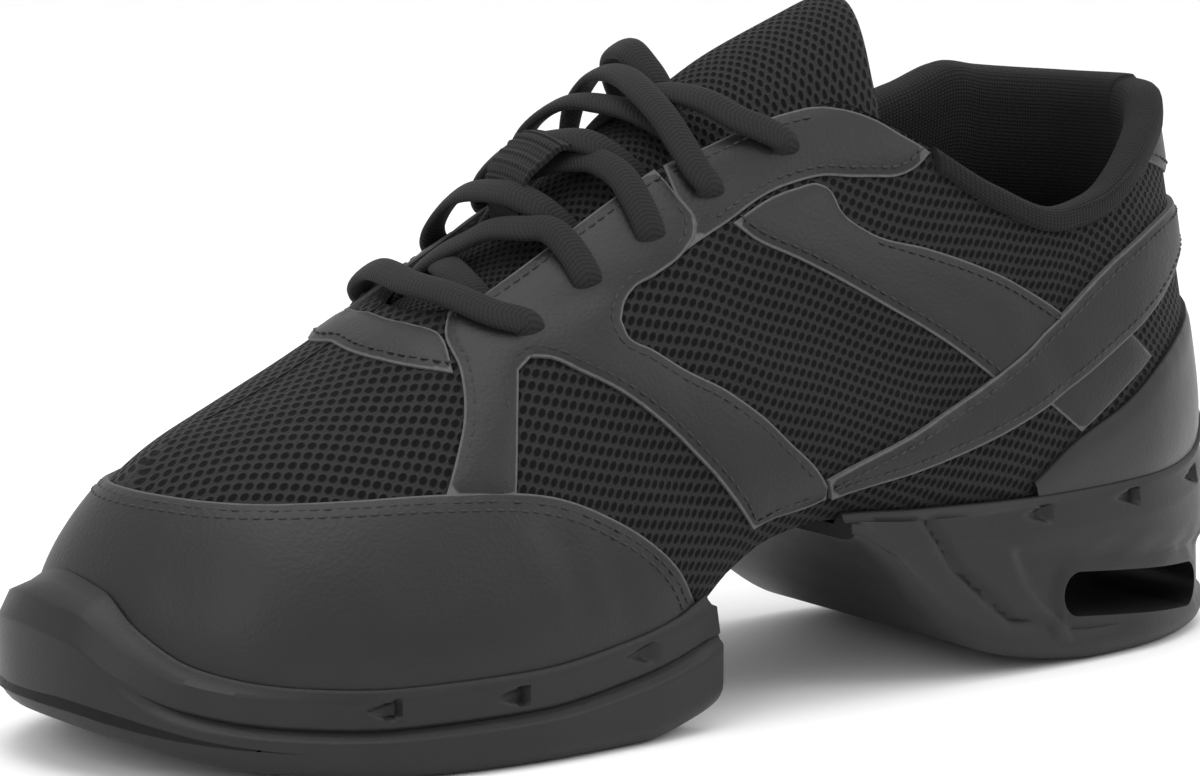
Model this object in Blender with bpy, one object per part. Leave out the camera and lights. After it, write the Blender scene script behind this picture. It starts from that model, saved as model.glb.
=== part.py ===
"""Split-sole dance sneaker, the left shoe, standing empty on its two sole units.

Metres, +X toward the toe, +Y toward the wearer's left (the outer side), +Z up, floor at z = 0.
The last is worked out around its feather line, the edge where the sides turn under the foot. A place
on it is (turn, side, rise): turn runs from the back of the heel, 0, to the tip of the toe, 1, side is
+1 for the outer and -1 for the inner side, and rise is the angle up from the feather line, 0, to the
ridge over the foot, a quarter turn.
"""
import bisect
import math

import bmesh
import bpy
import numpy as np
from mathutils import Matrix, Vector

# Driving sizes of the last and the upper
UPPER_LENGTH = 0.265
HEEL_SET = 0.0035
BALL_WIDTH = 0.092
HEEL_SEAT = 0.0305
INSTEP_HEIGHT = 0.120
COLLAR_HEIGHT = 0.117
WALL = 0.0024
TOE_REACH = 0.030
HEEL_REACH = 0.030
BULGE = 0.0042
BULGE_HEIGHT = 0.016
TOE_LEAN_START = 0.6
HEEL_LEAN_END = 0.35
THROAT_FRONT = 0.1980
THROAT_BACK = 0.094
THROAT_HALF_GAP = 0.0150
THROAT_SPREAD = 0.0040
THROAT_SHIFT = 0.0040
THROAT_ROUND = 0.012
LASTING_MARGIN = 0.014

# Driving sizes of the sole units
SOLE_FLARE = 0.0016
LIP_THICKNESS = 0.0020
BUMPER = 0.0055
BUMPER_START = 0.78
SIDE_BULGE = 0.8
TREAD_ROUND = 0.005
LEDGE_DROP = 0.0085
LEDGE_DEPTH = 0.0014
FOREFOOT_SOLE_START = 0.1565
HEEL_SOLE_END = 0.119
WINDOW_LENGTH = 0.048
WINDOW_HEIGHT = 0.0095
WINDOW_MIDDLE = 0.037
WINDOW_LEVEL = 0.0130
WINDOW_TILT = 0.10
GROOVE_WIDTH = 0.0025
GROOVE_DEPTH = 0.0016
GROOVE_PITCH = 0.011
GROOVE_SPAN = 0.55
BALL_START = 0.176
BALL_END = 0.212
TREAD_FLAT = 0.016

# Fits and thin pieces
CLEARANCE = 0.0004
OVERLAY = 0.0012
INSOLE_THICKNESS = 0.0035
TONGUE_THICKNESS = 0.0060
TONGUE_TUCK = 0.012
TONGUE_REACH = 0.018
TONGUE_FRONT_HALF = 0.021
TONGUE_BACK_HALF = 0.028
TONGUE_END = 0.021
TONGUE_SLOPE = 0.15
TONGUE_CROWN = 0.0050
TONGUE_CLEARANCE = 0.0016
CROWN_START = 0.3
CROWN_FALL = 2.2
TONGUE_THIN = 0.45
TONGUE_CORNER = 0.28
KEEPER_THICKNESS = 0.0012
KEEPER_ARCH = 0.0092
KEEPER_STEPS = 2
LACE_WIDTH = 0.0056
LACE_THICKNESS = 0.0024
LACE_SIDES = 6
LACE_STEPS = 8
LINING_PADDING = 0.0042
LINING_REACH = 0.345
LINING_COLUMNS = 10
PANEL_LIFT = 0.0006
PANEL_GAP = 0.0006
LIP_CLEARANCE = 0.0006
LACE_REST = 0.0036
SINK_REACH = 0.6
SLIVER = 0.001
MERGE = 0.00002

# How finely the grids are cut
HEEL_COLUMNS = 15
ARCH_COLUMNS = 3
FOREFOOT_COLUMNS = 18
LIP_ROWS_COUNT = 3
WALL_ROWS = 7
WINDOW_STEPS = 8
TONGUE_STEPS = 4
TONGUE_ROWS = 9
TONGUE_END_ROWS = 3
TOE_LIP_STEPS = 20
HEEL_LIP_STEPS = 18
TAB_STEPS = 4
EYESTAY_TOP_STEPS = 8
REAR_TOP_STEPS = 8
BINDING_TOP_STEPS = 8

# A panel's cells: their size, and the chart's steps that come to about that
PANEL_CELL = 0.009
TOE_CELL = (0.024, 0.115)
SIDE_CELL = (0.027, 0.120)
HEEL_CELL = (0.029, 0.062)

# The last, a row for each section: along is a share of UPPER_LENGTH, outer and inner are the sides'
# distances from the axis as shares of BALL_WIDTH, seat is the feather line's height as a share of
# HEEL_SEAT, ridge is the ridge's height as a share of INSTEP_HEIGHT, sway moves the ridge sideways
# as a share of BALL_WIDTH
LAST_COLUMNS = ("along", "outer", "inner", "seat", "ridge", "sway", "full")
LAST_ROWS = (
    (0.000, -0.010, 0.010, 1.00, 1.375, -0.02, 0.92),
    (0.050, 0.235, 0.235, 1.00, 1.375, -0.02, 0.92),
    (0.130, 0.340, 0.335, 1.00, 1.37, -0.03, 0.92),
    (0.250, 0.385, 0.345, 1.02, 1.26, -0.04, 0.92),
    (0.360, 0.400, 0.320, 1.12, 1.125, -0.05, 0.95),
    (0.450, 0.415, 0.315, 1.20, 1.05, -0.06, 0.95),
    (0.500, 0.430, 0.330, 1.14, 0.995, -0.06, 0.93),
    (0.540, 0.445, 0.350, 0.98, 0.958, -0.06, 0.92),
    (0.580, 0.462, 0.375, 0.72, 0.905, -0.06, 0.92),
    (0.640, 0.490, 0.415, 0.50, 0.815, -0.06, 0.92),
    (0.740, 0.515, 0.480, 0.38, 0.675, -0.06, 0.90),
    (0.840, 0.490, 0.475, 0.38, 0.560, -0.06, 0.88),
    (0.930, 0.380, 0.370, 0.47, 0.485, -0.06, 0.88),
    (0.980, 0.195, 0.235, 0.54, 0.445, -0.06, 0.90),
    (1.000, -0.045, 0.045, 0.56, 0.430, -0.06, 0.90),
)

# The collar's edge: along as above, outer and inner are heights as shares of COLLAR_HEIGHT
COLLAR_COLUMNS = ("along", "outer", "inner")
COLLAR_ROWS = (
    (0.00, 1.000, 1.000),
    (0.03, 0.990, 1.000),
    (0.07, 0.935, 1.005),
    (0.12, 0.860, 1.015),
    (0.15, 0.825, 1.025),
    (0.20, 0.805, 0.990),
    (0.26, 0.855, 0.960),
    (0.32, 0.945, 0.975),
    (0.38, 1.020, 1.020),
    (0.43, 1.060, 1.060),
    (0.60, 1.100, 1.100),
)

# The sole units' upper edge, the lip: along and rise, a height as a share of HEEL_SEAT
LIP_COLUMNS = ("along", "rise")
LIP_ROWS = (
    (0.000, 1.60),
    (0.012, 1.50),
    (0.050, 1.27),
    (0.100, 1.22),
    (0.240, 1.20),
    (0.360, 1.23),
    (0.440, 1.27),
    (0.500, 1.20),
    (0.560, 0.96),
    (0.600, 0.80),
    (0.660, 0.68),
    (0.740, 0.60),
    (0.840, 0.585),
    (0.910, 0.62),
    (0.960, 0.72),
    (0.982, 0.90),
    (0.994, 1.10),
    (1.000, 1.16),
)

# The sole units' underside: along and clear, a height over the floor as a share of HEEL_SEAT
TREAD_COLUMNS = ("along", "clear")
TREAD_ROWS = (
    (-0.03, 0.10),
    (0.030, 0.00),
    (0.170, 0.00),
    (0.220, 0.04),
    (0.260, 0.10),
    (0.300, 0.20),
    (0.340, 0.40),
    (0.370, 0.62),
    (0.400, 0.87),
    (0.440, 1.10),
    (0.560, 0.18),
    (0.590, 0.08),
    (0.640, 0.00),
    (0.800, 0.00),
    (0.900, 0.05),
    (0.970, 0.14),
    (1.040, 0.34),
)

# The collar's padding, a row for each level: climb as on the wall, and fill, a share of LINING_PADDING
LINING_NAMES = ("climb", "fill")
LINING_ROWS = (
    (0.60, 0.12),
    (0.72, 0.70),
    (0.84, 1.00),
    (0.95, 1.00),
    (0.995, 0.60),
)

# The webbing over the laces, a row for each level along the tongue: share and arch, a share of
# KEEPER_ARCH, and the ends of the band across the tongue
KEEPER_NAMES = ("share", "arch")
KEEPER_ROWS = (
    (0.400, 0.0),
    (0.430, 0.75),
    (0.470, 1.0),
    (0.520, 1.0),
    (0.555, 0.75),
    (0.580, 0.0),
)
KEEPER_ENDS = (-0.34, 0.10)

# The lace holes on each side: turn, height on the chart, crest, how far the laces stand off the last
# where they cross the throat there, and sink, how far the webbing holds them down
HOLE_NAMES = ("turn", "height", "crest", "sink")
HOLE_ROWS = (
    (0.617, 0.631, 0.0050, 0.0),
    (0.580, 0.630, 0.0036, 0.0),
    (0.543, 0.604, 0.0012, 0.0045),
    (0.507, 0.604, 0.0055, 0.0),
    (0.460, 0.599, 0.0075, 0.0),
)

# A lace's way across: ahead is added to the hole's turn, over runs from the outer side, 1, to the inner,
# -1, as shares of the way from the ridge to the hole, rest is a share of LACE_REST and rise of the crest
STRAND_NAMES = ("ahead", "over", "rest", "rise")
BAR_ROWS = (
    (0.000, 1.00, 1.0, 0.00),
    (0.001, 0.72, 1.0, 0.30),
    (0.003, 0.30, 1.0, 0.90),
    (0.004, -0.20, 1.0, 1.00),
    (0.003, -0.68, 1.0, 0.70),
    (0.000, -1.00, 1.0, 0.00),
)
OVER_ROWS = (
    (0.000, 1.00, 1.0, 0.00),
    (0.002, 0.74, 1.0, 0.30),
    (0.008, 0.36, 1.0, 0.95),
    (0.018, -0.04, 0.9, 0.95),
    (0.028, -0.34, -0.1, 0.20),
)
UNDER_ROWS = (
    (0.026, 0.40, -0.1, 0.00),
    (0.022, 0.22, 0.4, 0.50),
    (0.016, -0.04, 0.85, 0.75),
    (0.006, -0.42, 1.0, 0.95),
    (0.001, -0.76, 1.0, 0.60),
    (0.000, -1.00, 1.0, 0.00),
)

# Panel outlines on the chart. across runs like turn on the outer side, past 1 on the inner side and below
# 0 round the heel. height is the rise as a share of a quarter turn. An outline may also run along the
# upper's top edge or the sole's lip, which edge_run works out
PANEL_NAMES = ("across", "height")
TOE_EDGE = (
    (0.557, 0.048), (0.567, 0.110), (0.583, 0.180), (0.603, 0.246), (0.633, 0.330), (0.693, 0.430),
    (0.757, 0.509), (0.820, 0.560), (0.880, 0.605), (0.940, 0.645), (1.000, 0.660),
)
TOE_START = 0.553
EYESTAY_FRONT = ((0.648, 0.815), (0.657, 0.771), (0.661, 0.661), (0.670, 0.564), (0.683, 0.491))
EYESTAY_FOOT = ((0.695, 0.441), (0.655, 0.376))
EYESTAY_LEGS = (
    (0.640, 0.506), (0.631, 0.580), (0.622, 0.586), (0.613, 0.559), (0.600, 0.498), (0.583, 0.423),
    (0.563, 0.321), (0.543, 0.208), (0.527, 0.106), (0.517, 0.050), (0.498, 0.040), (0.480, 0.036),
    (0.470, 0.040), (0.470, 0.060), (0.477, 0.088), (0.493, 0.141), (0.513, 0.209), (0.520, 0.250),
    (0.543, 0.349), (0.560, 0.436), (0.570, 0.487), (0.571, 0.520), (0.567, 0.541), (0.560, 0.551),
    (0.547, 0.540),
)
EYESTAY_REAR = ((0.530, 0.533), (0.523, 0.545), (0.520, 0.570), (0.523, 0.640))
EYESTAY_TOP = (0.527, 0.640)
VAMP_FRONT = (
    (0.665, 0.330), (0.683, 0.255), (0.697, 0.182), (0.711, 0.070), (0.713, 0.000), (0.709, -0.080),
    (0.697, -0.160), (0.683, -0.235), (0.665, -0.310),
)
VAMP_BACK = (
    (0.660, -0.215), (0.668, -0.130), (0.675, -0.060), (0.677, 0.000), (0.675, 0.070), (0.668, 0.140),
    (0.660, 0.215),
)
REAR_BOTTOM = (
    (0.507, 0.532), (0.483, 0.537), (0.460, 0.531), (0.443, 0.523), (0.428, 0.505), (0.413, 0.489),
    (0.400, 0.475), (0.387, 0.474), (0.377, 0.484),
)
REAR_BACK = ((0.380, 0.495), (0.393, 0.539), (0.405, 0.585), (0.420, 0.630))
REAR_TOP = (0.440, 0.522)
QUARTER_BAND = (
    (0.500, 0.525), (0.490, 0.471), (0.470, 0.405), (0.447, 0.348), (0.430, 0.312), (0.397, 0.250),
    (0.361, 0.180), (0.344, 0.190), (0.303, 0.224), (0.325, 0.253), (0.353, 0.289), (0.390, 0.342),
    (0.427, 0.400), (0.437, 0.435), (0.443, 0.500), (0.449, 0.515), (0.460, 0.520), (0.483, 0.527),
)
SWEEP_TOP = (
    (0.470, 0.068), (0.440, 0.091), (0.403, 0.139), (0.363, 0.168), (0.347, 0.178), (0.300, 0.214),
    (0.263, 0.242), (0.203, 0.274), (0.093, 0.297), (0.002, 0.300),
)
SWEEP_LOW = (
    (0.002, 0.262), (0.060, 0.256), (0.127, 0.242), (0.197, 0.197), (0.240, 0.173), (0.287, 0.144),
    (0.333, 0.118), (0.387, 0.086), (0.423, 0.071), (0.467, 0.040),
)
HEEL_STRAP = ((0.323, 0.118), (0.242, 0.166), (0.210, 0.150), (0.255, 0.118), (0.291, 0.090))
COUNTER_TOP = (
    (0.330, 0.046), (0.303, 0.077), (0.247, 0.110), (0.200, 0.142), (0.117, 0.178), (0.060, 0.192),
    (0.000, 0.196),
)
TAB_BOTTOM = ((0.180, 0.360), (0.090, 0.334), (0.000, 0.326), (-0.090, 0.334), (-0.180, 0.360))
BINDING_BOTTOM = (
    (0.372, 0.462), (0.357, 0.420), (0.327, 0.354), (0.303, 0.321), (0.277, 0.304), (0.253, 0.303),
    (0.227, 0.316), (0.193, 0.344), (0.184, 0.362),
)
BINDING_TOP = (0.186, 0.372)


def table(columns, rows):
    """A table's columns as arrays, by name."""
    values = np.array(rows)
    return {name: values[:, index] for index, name in enumerate(columns)}


LAST = table(LAST_COLUMNS, LAST_ROWS)
COLLAR = table(COLLAR_COLUMNS, COLLAR_ROWS)
LIP = table(LIP_COLUMNS, LIP_ROWS)
TREAD = table(TREAD_COLUMNS, TREAD_ROWS)
LINING = table(LINING_NAMES, LINING_ROWS)
KEEPER = table(KEEPER_NAMES, KEEPER_ROWS)
HOLES = table(HOLE_NAMES, HOLE_ROWS)


class Curve:
    """A smooth curve through a table's points that never overshoots them."""

    def __init__(self, knots, values, flat_ends=False):
        self.knots = [float(knot) for knot in knots]
        self.values = [float(value) for value in values]
        steps = np.diff(self.knots)
        slopes = np.diff(self.values) / steps
        tangents = [0.0] * len(self.values)
        if not flat_ends:
            tangents[0] = float(slopes[0])
            tangents[-1] = float(slopes[-1])
        for index in range(1, len(self.values) - 1):
            before, after = slopes[index - 1], slopes[index]
            if before * after > 0:
                near = 2 * steps[index] + steps[index - 1]
                far = steps[index] + 2 * steps[index - 1]
                tangents[index] = float((near + far) / (near / before + far / after))
        self.tangents = tangents

    def at(self, place):
        knots, values, tangents = self.knots, self.values, self.tangents
        cell = min(max(bisect.bisect_left(knots, place) - 1, 0), len(knots) - 2)
        step = knots[cell + 1] - knots[cell]
        share = min(max((place - knots[cell]) / step, 0.0), 1.0)
        rest = 1 - share
        return (
            (1 + 2 * share) * rest**2 * values[cell]
            + share * rest**2 * step * tangents[cell]
            + share**2 * (3 - 2 * share) * values[cell + 1]
            - share**2 * rest * step * tangents[cell + 1]
        )


def turn_at(along):
    """The turn whose feather point lies at this share of the length."""
    return math.acos(1 - 2 * min(max(along, 0.0), 1.0)) / math.pi


def along_at(turn):
    return (1 - math.cos(math.pi * turn)) / 2


LAST_TURNS = [turn_at(along) for along in LAST["along"]]
LAST_CURVES = {name: Curve(LAST_TURNS, LAST[name]) for name in ("outer", "inner", "sway", "full")}
SEAT_CURVE = Curve(LAST_TURNS, LAST["seat"], flat_ends=True)
RIDGE_CURVE = Curve(LAST["along"], LAST["ridge"])
COLLAR_CURVES = {side: Curve(COLLAR["along"], COLLAR[name]) for side, name in ((1, "outer"), (-1, "inner"))}
LIP_CURVE = Curve([turn_at(along) for along in LIP["along"]], LIP["rise"], flat_ends=True)
TREAD_CURVE = Curve(TREAD["along"], TREAD["clear"])


def feather(turn, side):
    """The feather line, where the upper's side turns under."""
    name = "outer" if side > 0 else "inner"
    along = along_at(turn)
    return Vector((
        HEEL_SET + UPPER_LENGTH * along,
        side * BALL_WIDTH * LAST_CURVES[name].at(turn),
        HEEL_SEAT * SEAT_CURVE.at(turn),
    ))


def ridge_height(x):
    return INSTEP_HEIGHT * RIDGE_CURVE.at((x - HEEL_SET) / UPPER_LENGTH)


def ridge(turn):
    """The point over the foot that a section leans to."""
    x = UPPER_LENGTH * along_at(turn)
    toe_start = TOE_LEAN_START * UPPER_LENGTH
    heel_start = HEEL_LEAN_END * UPPER_LENGTH
    if x > toe_start:
        x -= TOE_REACH * ((x - toe_start) / (UPPER_LENGTH - toe_start)) ** 2
    if x < heel_start:
        x += HEEL_REACH * ((heel_start - x) / heel_start) ** 2
    y = BALL_WIDTH * LAST_CURVES["sway"].at(turn)
    return Vector((HEEL_SET + x, y, ridge_height(HEEL_SET + x)))


def surface(turn, side, rise):
    """The upper's outer face."""
    low = feather(turn, side)
    high = ridge(turn)
    inward = max(math.cos(rise), 0.0) ** LAST_CURVES["full"].at(turn)
    upward = math.sin(rise)
    point = high.lerp(low, inward)
    point.z = low.z + (ridge_height(point.x) - low.z) * upward
    height = point.z - low.z
    share = height / BULGE_HEIGHT
    swell = BULGE * share * math.exp(1 - share) if share < 12 else 0.0
    away = Vector((low.x - high.x, low.y - high.y, 0.0))
    if away.length > 1e-6:
        point += away.normalized() * swell * math.sqrt(max(math.cos(rise), 0.0))
    return point


def past_ends(turn, side, rise):
    """The outer face where the turn may run past the heel or the toe onto the other side."""
    if turn < 0:
        return surface(-turn, -side, rise)
    if turn > 1:
        return surface(2 - turn, -side, rise)
    return surface(turn, side, rise)


def one_sided_normal(turn, side, rise):
    step = 0.002
    along = past_ends(turn + step, side, rise) - past_ends(turn - step, side, rise)
    low = min(max(rise - step, 0.0), math.pi / 2 - 2 * step)
    upward = surface(turn, side, low + 2 * step) - surface(turn, side, low)
    return (upward.cross(along) * side).normalized()


def normal(turn, side, rise):
    """The outward normal, the mean of both sides' where they meet on the ridge."""
    found = one_sided_normal(turn, side, rise)
    if rise > math.pi / 2 - 0.01:
        found = (found + one_sided_normal(turn, -side, rise)).normalized()
    return found


def skin(turn, side, rise, lift):
    """A point this far out from the upper's outer face, or inside it for a negative lift."""
    return surface(turn, side, rise) + normal(turn, side, rise) * lift


def collar_height(along, side):
    return COLLAR_HEIGHT * COLLAR_CURVES[side].at(along)


def throat_gap(x):
    """Half the width of the lace opening."""
    ahead = THROAT_FRONT - x
    if ahead <= 0 or x < THROAT_BACK:
        return 0.0
    full = THROAT_HALF_GAP + THROAT_SPREAD * ahead / (THROAT_FRONT - THROAT_BACK)
    if ahead < THROAT_ROUND:
        full *= math.sqrt(1 - (1 - ahead / THROAT_ROUND) ** 2)
    return full


def top_rise(turn, side):
    """The rise where the upper ends, at the collar, at the throat or on the ridge."""
    low = 0.0
    high = math.pi / 2

    def beyond(rise):
        point = surface(turn, side, rise)
        over = point.z > collar_height((point.x - HEEL_SET) / UPPER_LENGTH, side)
        centre = ridge(turn).y + THROAT_SHIFT
        return over or abs(point.y - centre) < throat_gap(point.x)

    if not beyond(high - 1e-4):
        return high
    for _ in range(24):
        middle = (low + high) / 2
        if beyond(middle):
            high = middle
        else:
            low = middle
    return low


COLLECTION_NAME = "dance_sneaker"


def start_scene():
    for item in list(bpy.data.objects):
        bpy.data.objects.remove(item, do_unlink=True)
    collection = bpy.data.collections.new(COLLECTION_NAME)
    bpy.context.scene.collection.children.link(collection)
    return collection


def material(name, colour, roughness):
    made = bpy.data.materials.new(name)
    made.use_nodes = True
    shader = made.node_tree.nodes["Principled BSDF"]
    shader.inputs["Base Color"].default_value = (*colour, 1.0)
    shader.inputs["Roughness"].default_value = roughness
    shader.inputs["Metallic"].default_value = 0.0
    made.diffuse_color = (*colour, 1.0)
    return made


def add_object(name, mesh_builder, finish, collection):
    """Close a bmesh up, turn its faces outward and link it as a named object."""
    bmesh.ops.remove_doubles(mesh_builder, verts=mesh_builder.verts, dist=MERGE)
    bmesh.ops.recalc_face_normals(mesh_builder, faces=mesh_builder.faces)
    mesh = bpy.data.meshes.new(name)
    mesh_builder.to_mesh(mesh)
    mesh_builder.free()
    mesh.shade_smooth()
    made = bpy.data.objects.new(name, mesh)
    mesh.materials.append(finish)
    collection.objects.link(made)
    return made


def add_grid(builder, rows, closed=False):
    """Quads between rows of points, each row joined to the next."""
    verts = [[builder.verts.new(point) for point in row] for row in rows]
    for lower, upper in zip(verts, verts[1:]):
        count = len(lower)
        for index in range(count if closed else count - 1):
            after = (index + 1) % count
            builder.faces.new((lower[index], lower[after], upper[after], upper[index]))
    return verts


def zone_turns(first, last, columns):
    return [first + (last - first) * index / columns for index in range(columns + 1)]


def turn_of(x):
    """The turn whose feather point lies at this distance from the floor frame's heel end."""
    return turn_at((x - HEEL_SET) / UPPER_LENGTH)


HEEL_TURNS = zone_turns(0.0, turn_of(HEEL_SOLE_END), HEEL_COLUMNS)
FOREFOOT_TURNS = zone_turns(turn_of(FOREFOOT_SOLE_START), 1.0, FOREFOOT_COLUMNS)
ARCH_TURNS = zone_turns(HEEL_TURNS[-1], FOREFOOT_TURNS[0], ARCH_COLUMNS)
ALL_TURNS = HEEL_TURNS + ARCH_TURNS[1:-1] + FOREFOOT_TURNS


def around(turns):
    """(turn, side) pairs along the outer side and back along the inner side."""
    return [(turn, 1) for turn in turns] + [(turn, -1) for turn in reversed(turns)]


def lip_height(turn):
    return HEEL_SEAT * LIP_CURVE.at(turn)


def tread_height(x):
    return HEEL_SEAT * TREAD_CURVE.at((x - HEEL_SET) / UPPER_LENGTH)


def rise_at_height(turn, side, height):
    low = 0.0
    high = math.pi / 2
    for _ in range(24):
        middle = (low + high) / 2
        if surface(turn, side, middle).z > height:
            high = middle
        else:
            low = middle
    return low


def seam_side(turn, side):
    """Both sides share one edge at the back of the heel and the tip of the toe."""
    return 1 if turn in (ALL_TURNS[0], ALL_TURNS[-1]) else side


LIP_RISE = {
    (turn, side): rise_at_height(turn, seam_side(turn, side), lip_height(turn))
    for turn, side in around(ALL_TURNS)
}
TOP_RISE = {
    (turn, side): top_rise(turn, seam_side(turn, side)) for turn, side in around(ALL_TURNS)
}


def underside(turn, side, share, lift):
    """A point under the foot, from the feather line, 0, to the middle, 1."""
    low = feather(turn, side)
    middle = ridge(turn)
    point = low.lerp(middle, share)
    point.z = low.z + lift
    return point


def margin_share(turn, side):
    low = feather(turn, side)
    middle = ridge(turn)
    span = math.hypot(middle.x - low.x, middle.y - low.y)
    return min(LASTING_MARGIN / span, 1.0)


def closed_arch(turn):
    """Whether the upper's underside closes here, between the two sole units."""
    return HEEL_TURNS[-2] < turn < FOREFOOT_TURNS[1]


def upper_rows(lift, bottom_lift):
    """Rows of points from the underside's inner edge, out to the feather line and up to the top."""
    places = around(ALL_TURNS)
    rows = []
    for share in (1.0, 0.5):
        row = []
        for place in places:
            reach = 1.0 if closed_arch(place[0]) else margin_share(*place)
            row.append(underside(*place, share * reach, bottom_lift))
        rows.append(row)
    rows.append([underside(*place, 0.0, bottom_lift) + outward(*place) * lift for place in places])
    for row in range(1, LIP_ROWS_COUNT + 1):
        rows.append([skin(*place, LIP_RISE[place] * row / LIP_ROWS_COUNT, lift) for place in places])
    for row in range(1, WALL_ROWS + 1):
        share = row / WALL_ROWS
        rises = {place: LIP_RISE[place] * (1 - share) + TOP_RISE[place] * share for place in places}
        rows.append([skin(*place, rises[place], lift) for place in places])
    return rows


def add_rim(builder, outer_edge, inner_edge, closed):
    """Join the edges of two walls, except where each wall already closes on itself."""
    for index in range(len(outer_edge) - 1):
        if closed[index] and closed[index + 1]:
            continue
        builder.faces.new((
            outer_edge[index], outer_edge[index + 1], inner_edge[index + 1], inner_edge[index]
        ))


def make_upper(finish, collection):
    builder = bmesh.new()
    outer = add_grid(builder, upper_rows(0.0, 0.0))
    inner = add_grid(builder, upper_rows(-WALL, WALL))
    places = around(ALL_TURNS)
    add_rim(builder, outer[0], inner[0], [closed_arch(turn) for turn, _ in places])
    add_rim(builder, outer[-1], inner[-1], [TOP_RISE[place] > math.pi / 2 - 0.001 for place in places])
    return add_object("upper", builder, finish, collection)


def outward(turn, side):
    """The level direction out from the feather line."""
    away = normal(turn, side, 0.02)
    return Vector((away.x, away.y, 0.0)).normalized()


def bumper(turn):
    """How far the toe bumper stands out."""
    share = min(max((turn - BUMPER_START) / (1 - BUMPER_START), 0.0), 1.0)
    return BUMPER * share * share * (3 - 2 * share)


def side_point(turn, side, proud, height):
    """A point on a sole unit's side, this far out from the upper's widest line."""
    point = feather(turn, side) + outward(turn, side) * (SIDE_BULGE * BULGE + LIP_THICKNESS + proud)
    point.z = height
    return point


def sole_rows(turns):
    """Rows of a sole unit from the middle of its tread, out, over the lip and in to its footbed."""
    places = around(turns)
    rows = []
    middle = []
    for place in places:
        point = underside(*place, 1.0, 0.0)
        point.z = tread_height(point.x)
        middle.append(point)
    rows.append(middle)
    for inset, level in ((TREAD_FLAT, 0.0), (TREAD_ROUND, 0.0), (0.3 * TREAD_ROUND, 0.3), (0.0, 1.0)):
        row = []
        for turn, side in places:
            point = side_point(turn, side, SOLE_FLARE + bumper(turn) - inset, 0.0)
            floor = tread_height(point.x)
            room = lip_height(turn) - floor
            point.z = floor + level * min(TREAD_ROUND, 0.3 * room)
            row.append(point)
        rows.append(row)
    for proud, drop in ((SOLE_FLARE, 1.0), (SOLE_FLARE - LEDGE_DEPTH, 0.9), (0.0, 0.2)):
        row = []
        for turn, side in places:
            room = lip_height(turn) - tread_height(feather(turn, side).x)
            fall = min(LEDGE_DROP, 0.55 * room) * drop
            row.append(side_point(turn, side, proud + bumper(turn), lip_height(turn) - fall))
        rows.append(row)
    rows.append([skin(*place, LIP_RISE[place], CLEARANCE + LIP_THICKNESS * 0.7) for place in places])
    for row in range(LIP_ROWS_COUNT, 0, -1):
        rows.append([skin(*place, LIP_RISE[place] * row / LIP_ROWS_COUNT, CLEARANCE) for place in places])
    rows.append([underside(*place, 0.0, -CLEARANCE) + outward(*place) * CLEARANCE for place in places])
    rows.append([underside(*place, margin_share(*place), -CLEARANCE) for place in places])
    rows.append([underside(*place, 1.0, -CLEARANCE) for place in places])
    return rows


def make_sole(name, turns, arch_first, finish, collection):
    """A sole unit lofted around the last, with a wall at its end under the arch."""
    builder = bmesh.new()
    rows = sole_rows(turns)
    half = len(turns)
    outer = add_grid(builder, [row[:half] for row in rows])
    inner = add_grid(builder, [row[half:] for row in rows])
    outer_end = [row[0 if arch_first else -1] for row in outer]
    inner_end = [row[-1 if arch_first else 0] for row in inner]
    wall = builder.faces.new(outer_end + inner_end[-2:0:-1])
    bmesh.ops.remove_doubles(builder, verts=builder.verts, dist=MERGE)
    bmesh.ops.triangulate(builder, faces=[wall], ngon_method="BEAUTY")
    return add_object(name, builder, finish, collection)


def sole_extent():
    """The middle of the sole units' outline, seen from above."""
    points = [point for turns in (HEEL_TURNS, FOREFOOT_TURNS) for row in sole_rows(turns) for point in row]
    along = [point.x for point in points]
    across = [point.y for point in points]
    return Vector(((min(along) + max(along)) / 2, (min(across) + max(across)) / 2, 0.0))


def centre_on_origin(collections, middle):
    """Put the outline's middle over the origin."""
    for collection in collections:
        for item in collection.objects:
            item.data.transform(Matrix.Translation(-middle))


def cutter_collection():
    made = bpy.data.collections.new("cutters")
    bpy.context.scene.collection.children.link(made)
    return made


def add_cutter(name, builder, target, cutters, operation="DIFFERENCE"):
    """Cut a closed shape out of an object, or join it on."""
    bmesh.ops.recalc_face_normals(builder, faces=builder.faces)
    mesh = bpy.data.meshes.new(name)
    builder.to_mesh(mesh)
    builder.free()
    cutter = bpy.data.objects.new(name, mesh)
    cutter.hide_render = True
    cutter.display_type = "WIRE"
    cutters.objects.link(cutter)
    cut = target.modifiers.new(name, "BOOLEAN")
    cut.operation = operation
    cut.solver = "EXACT"
    cut.object = cutter


def window_builder():
    """A slot with round ends, right through the heel unit from side to side."""
    builder = bmesh.new()
    radius = WINDOW_HEIGHT / 2
    straight = WINDOW_LENGTH / 2 - radius
    ring = []
    for end, start in ((1, -math.pi / 2), (-1, math.pi / 2)):
        for step in range(WINDOW_STEPS + 1):
            angle = start + math.pi * step / WINDOW_STEPS
            x = end * straight + radius * math.cos(angle)
            z = radius * math.sin(angle)
            level = WINDOW_LEVEL + z * math.cos(WINDOW_TILT) + x * math.sin(WINDOW_TILT)
            across = WINDOW_MIDDLE + x * math.cos(WINDOW_TILT) - z * math.sin(WINDOW_TILT)
            ring.append(builder.verts.new((across, -BALL_WIDTH, level)))
    face = builder.faces.new(ring)
    pulled = bmesh.ops.extrude_face_region(builder, geom=[face])["geom"]
    moved = [item for item in pulled if isinstance(item, bmesh.types.BMVert)]
    bmesh.ops.translate(builder, verts=moved, vec=(0, 2 * BALL_WIDTH, 0))
    return builder


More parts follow.
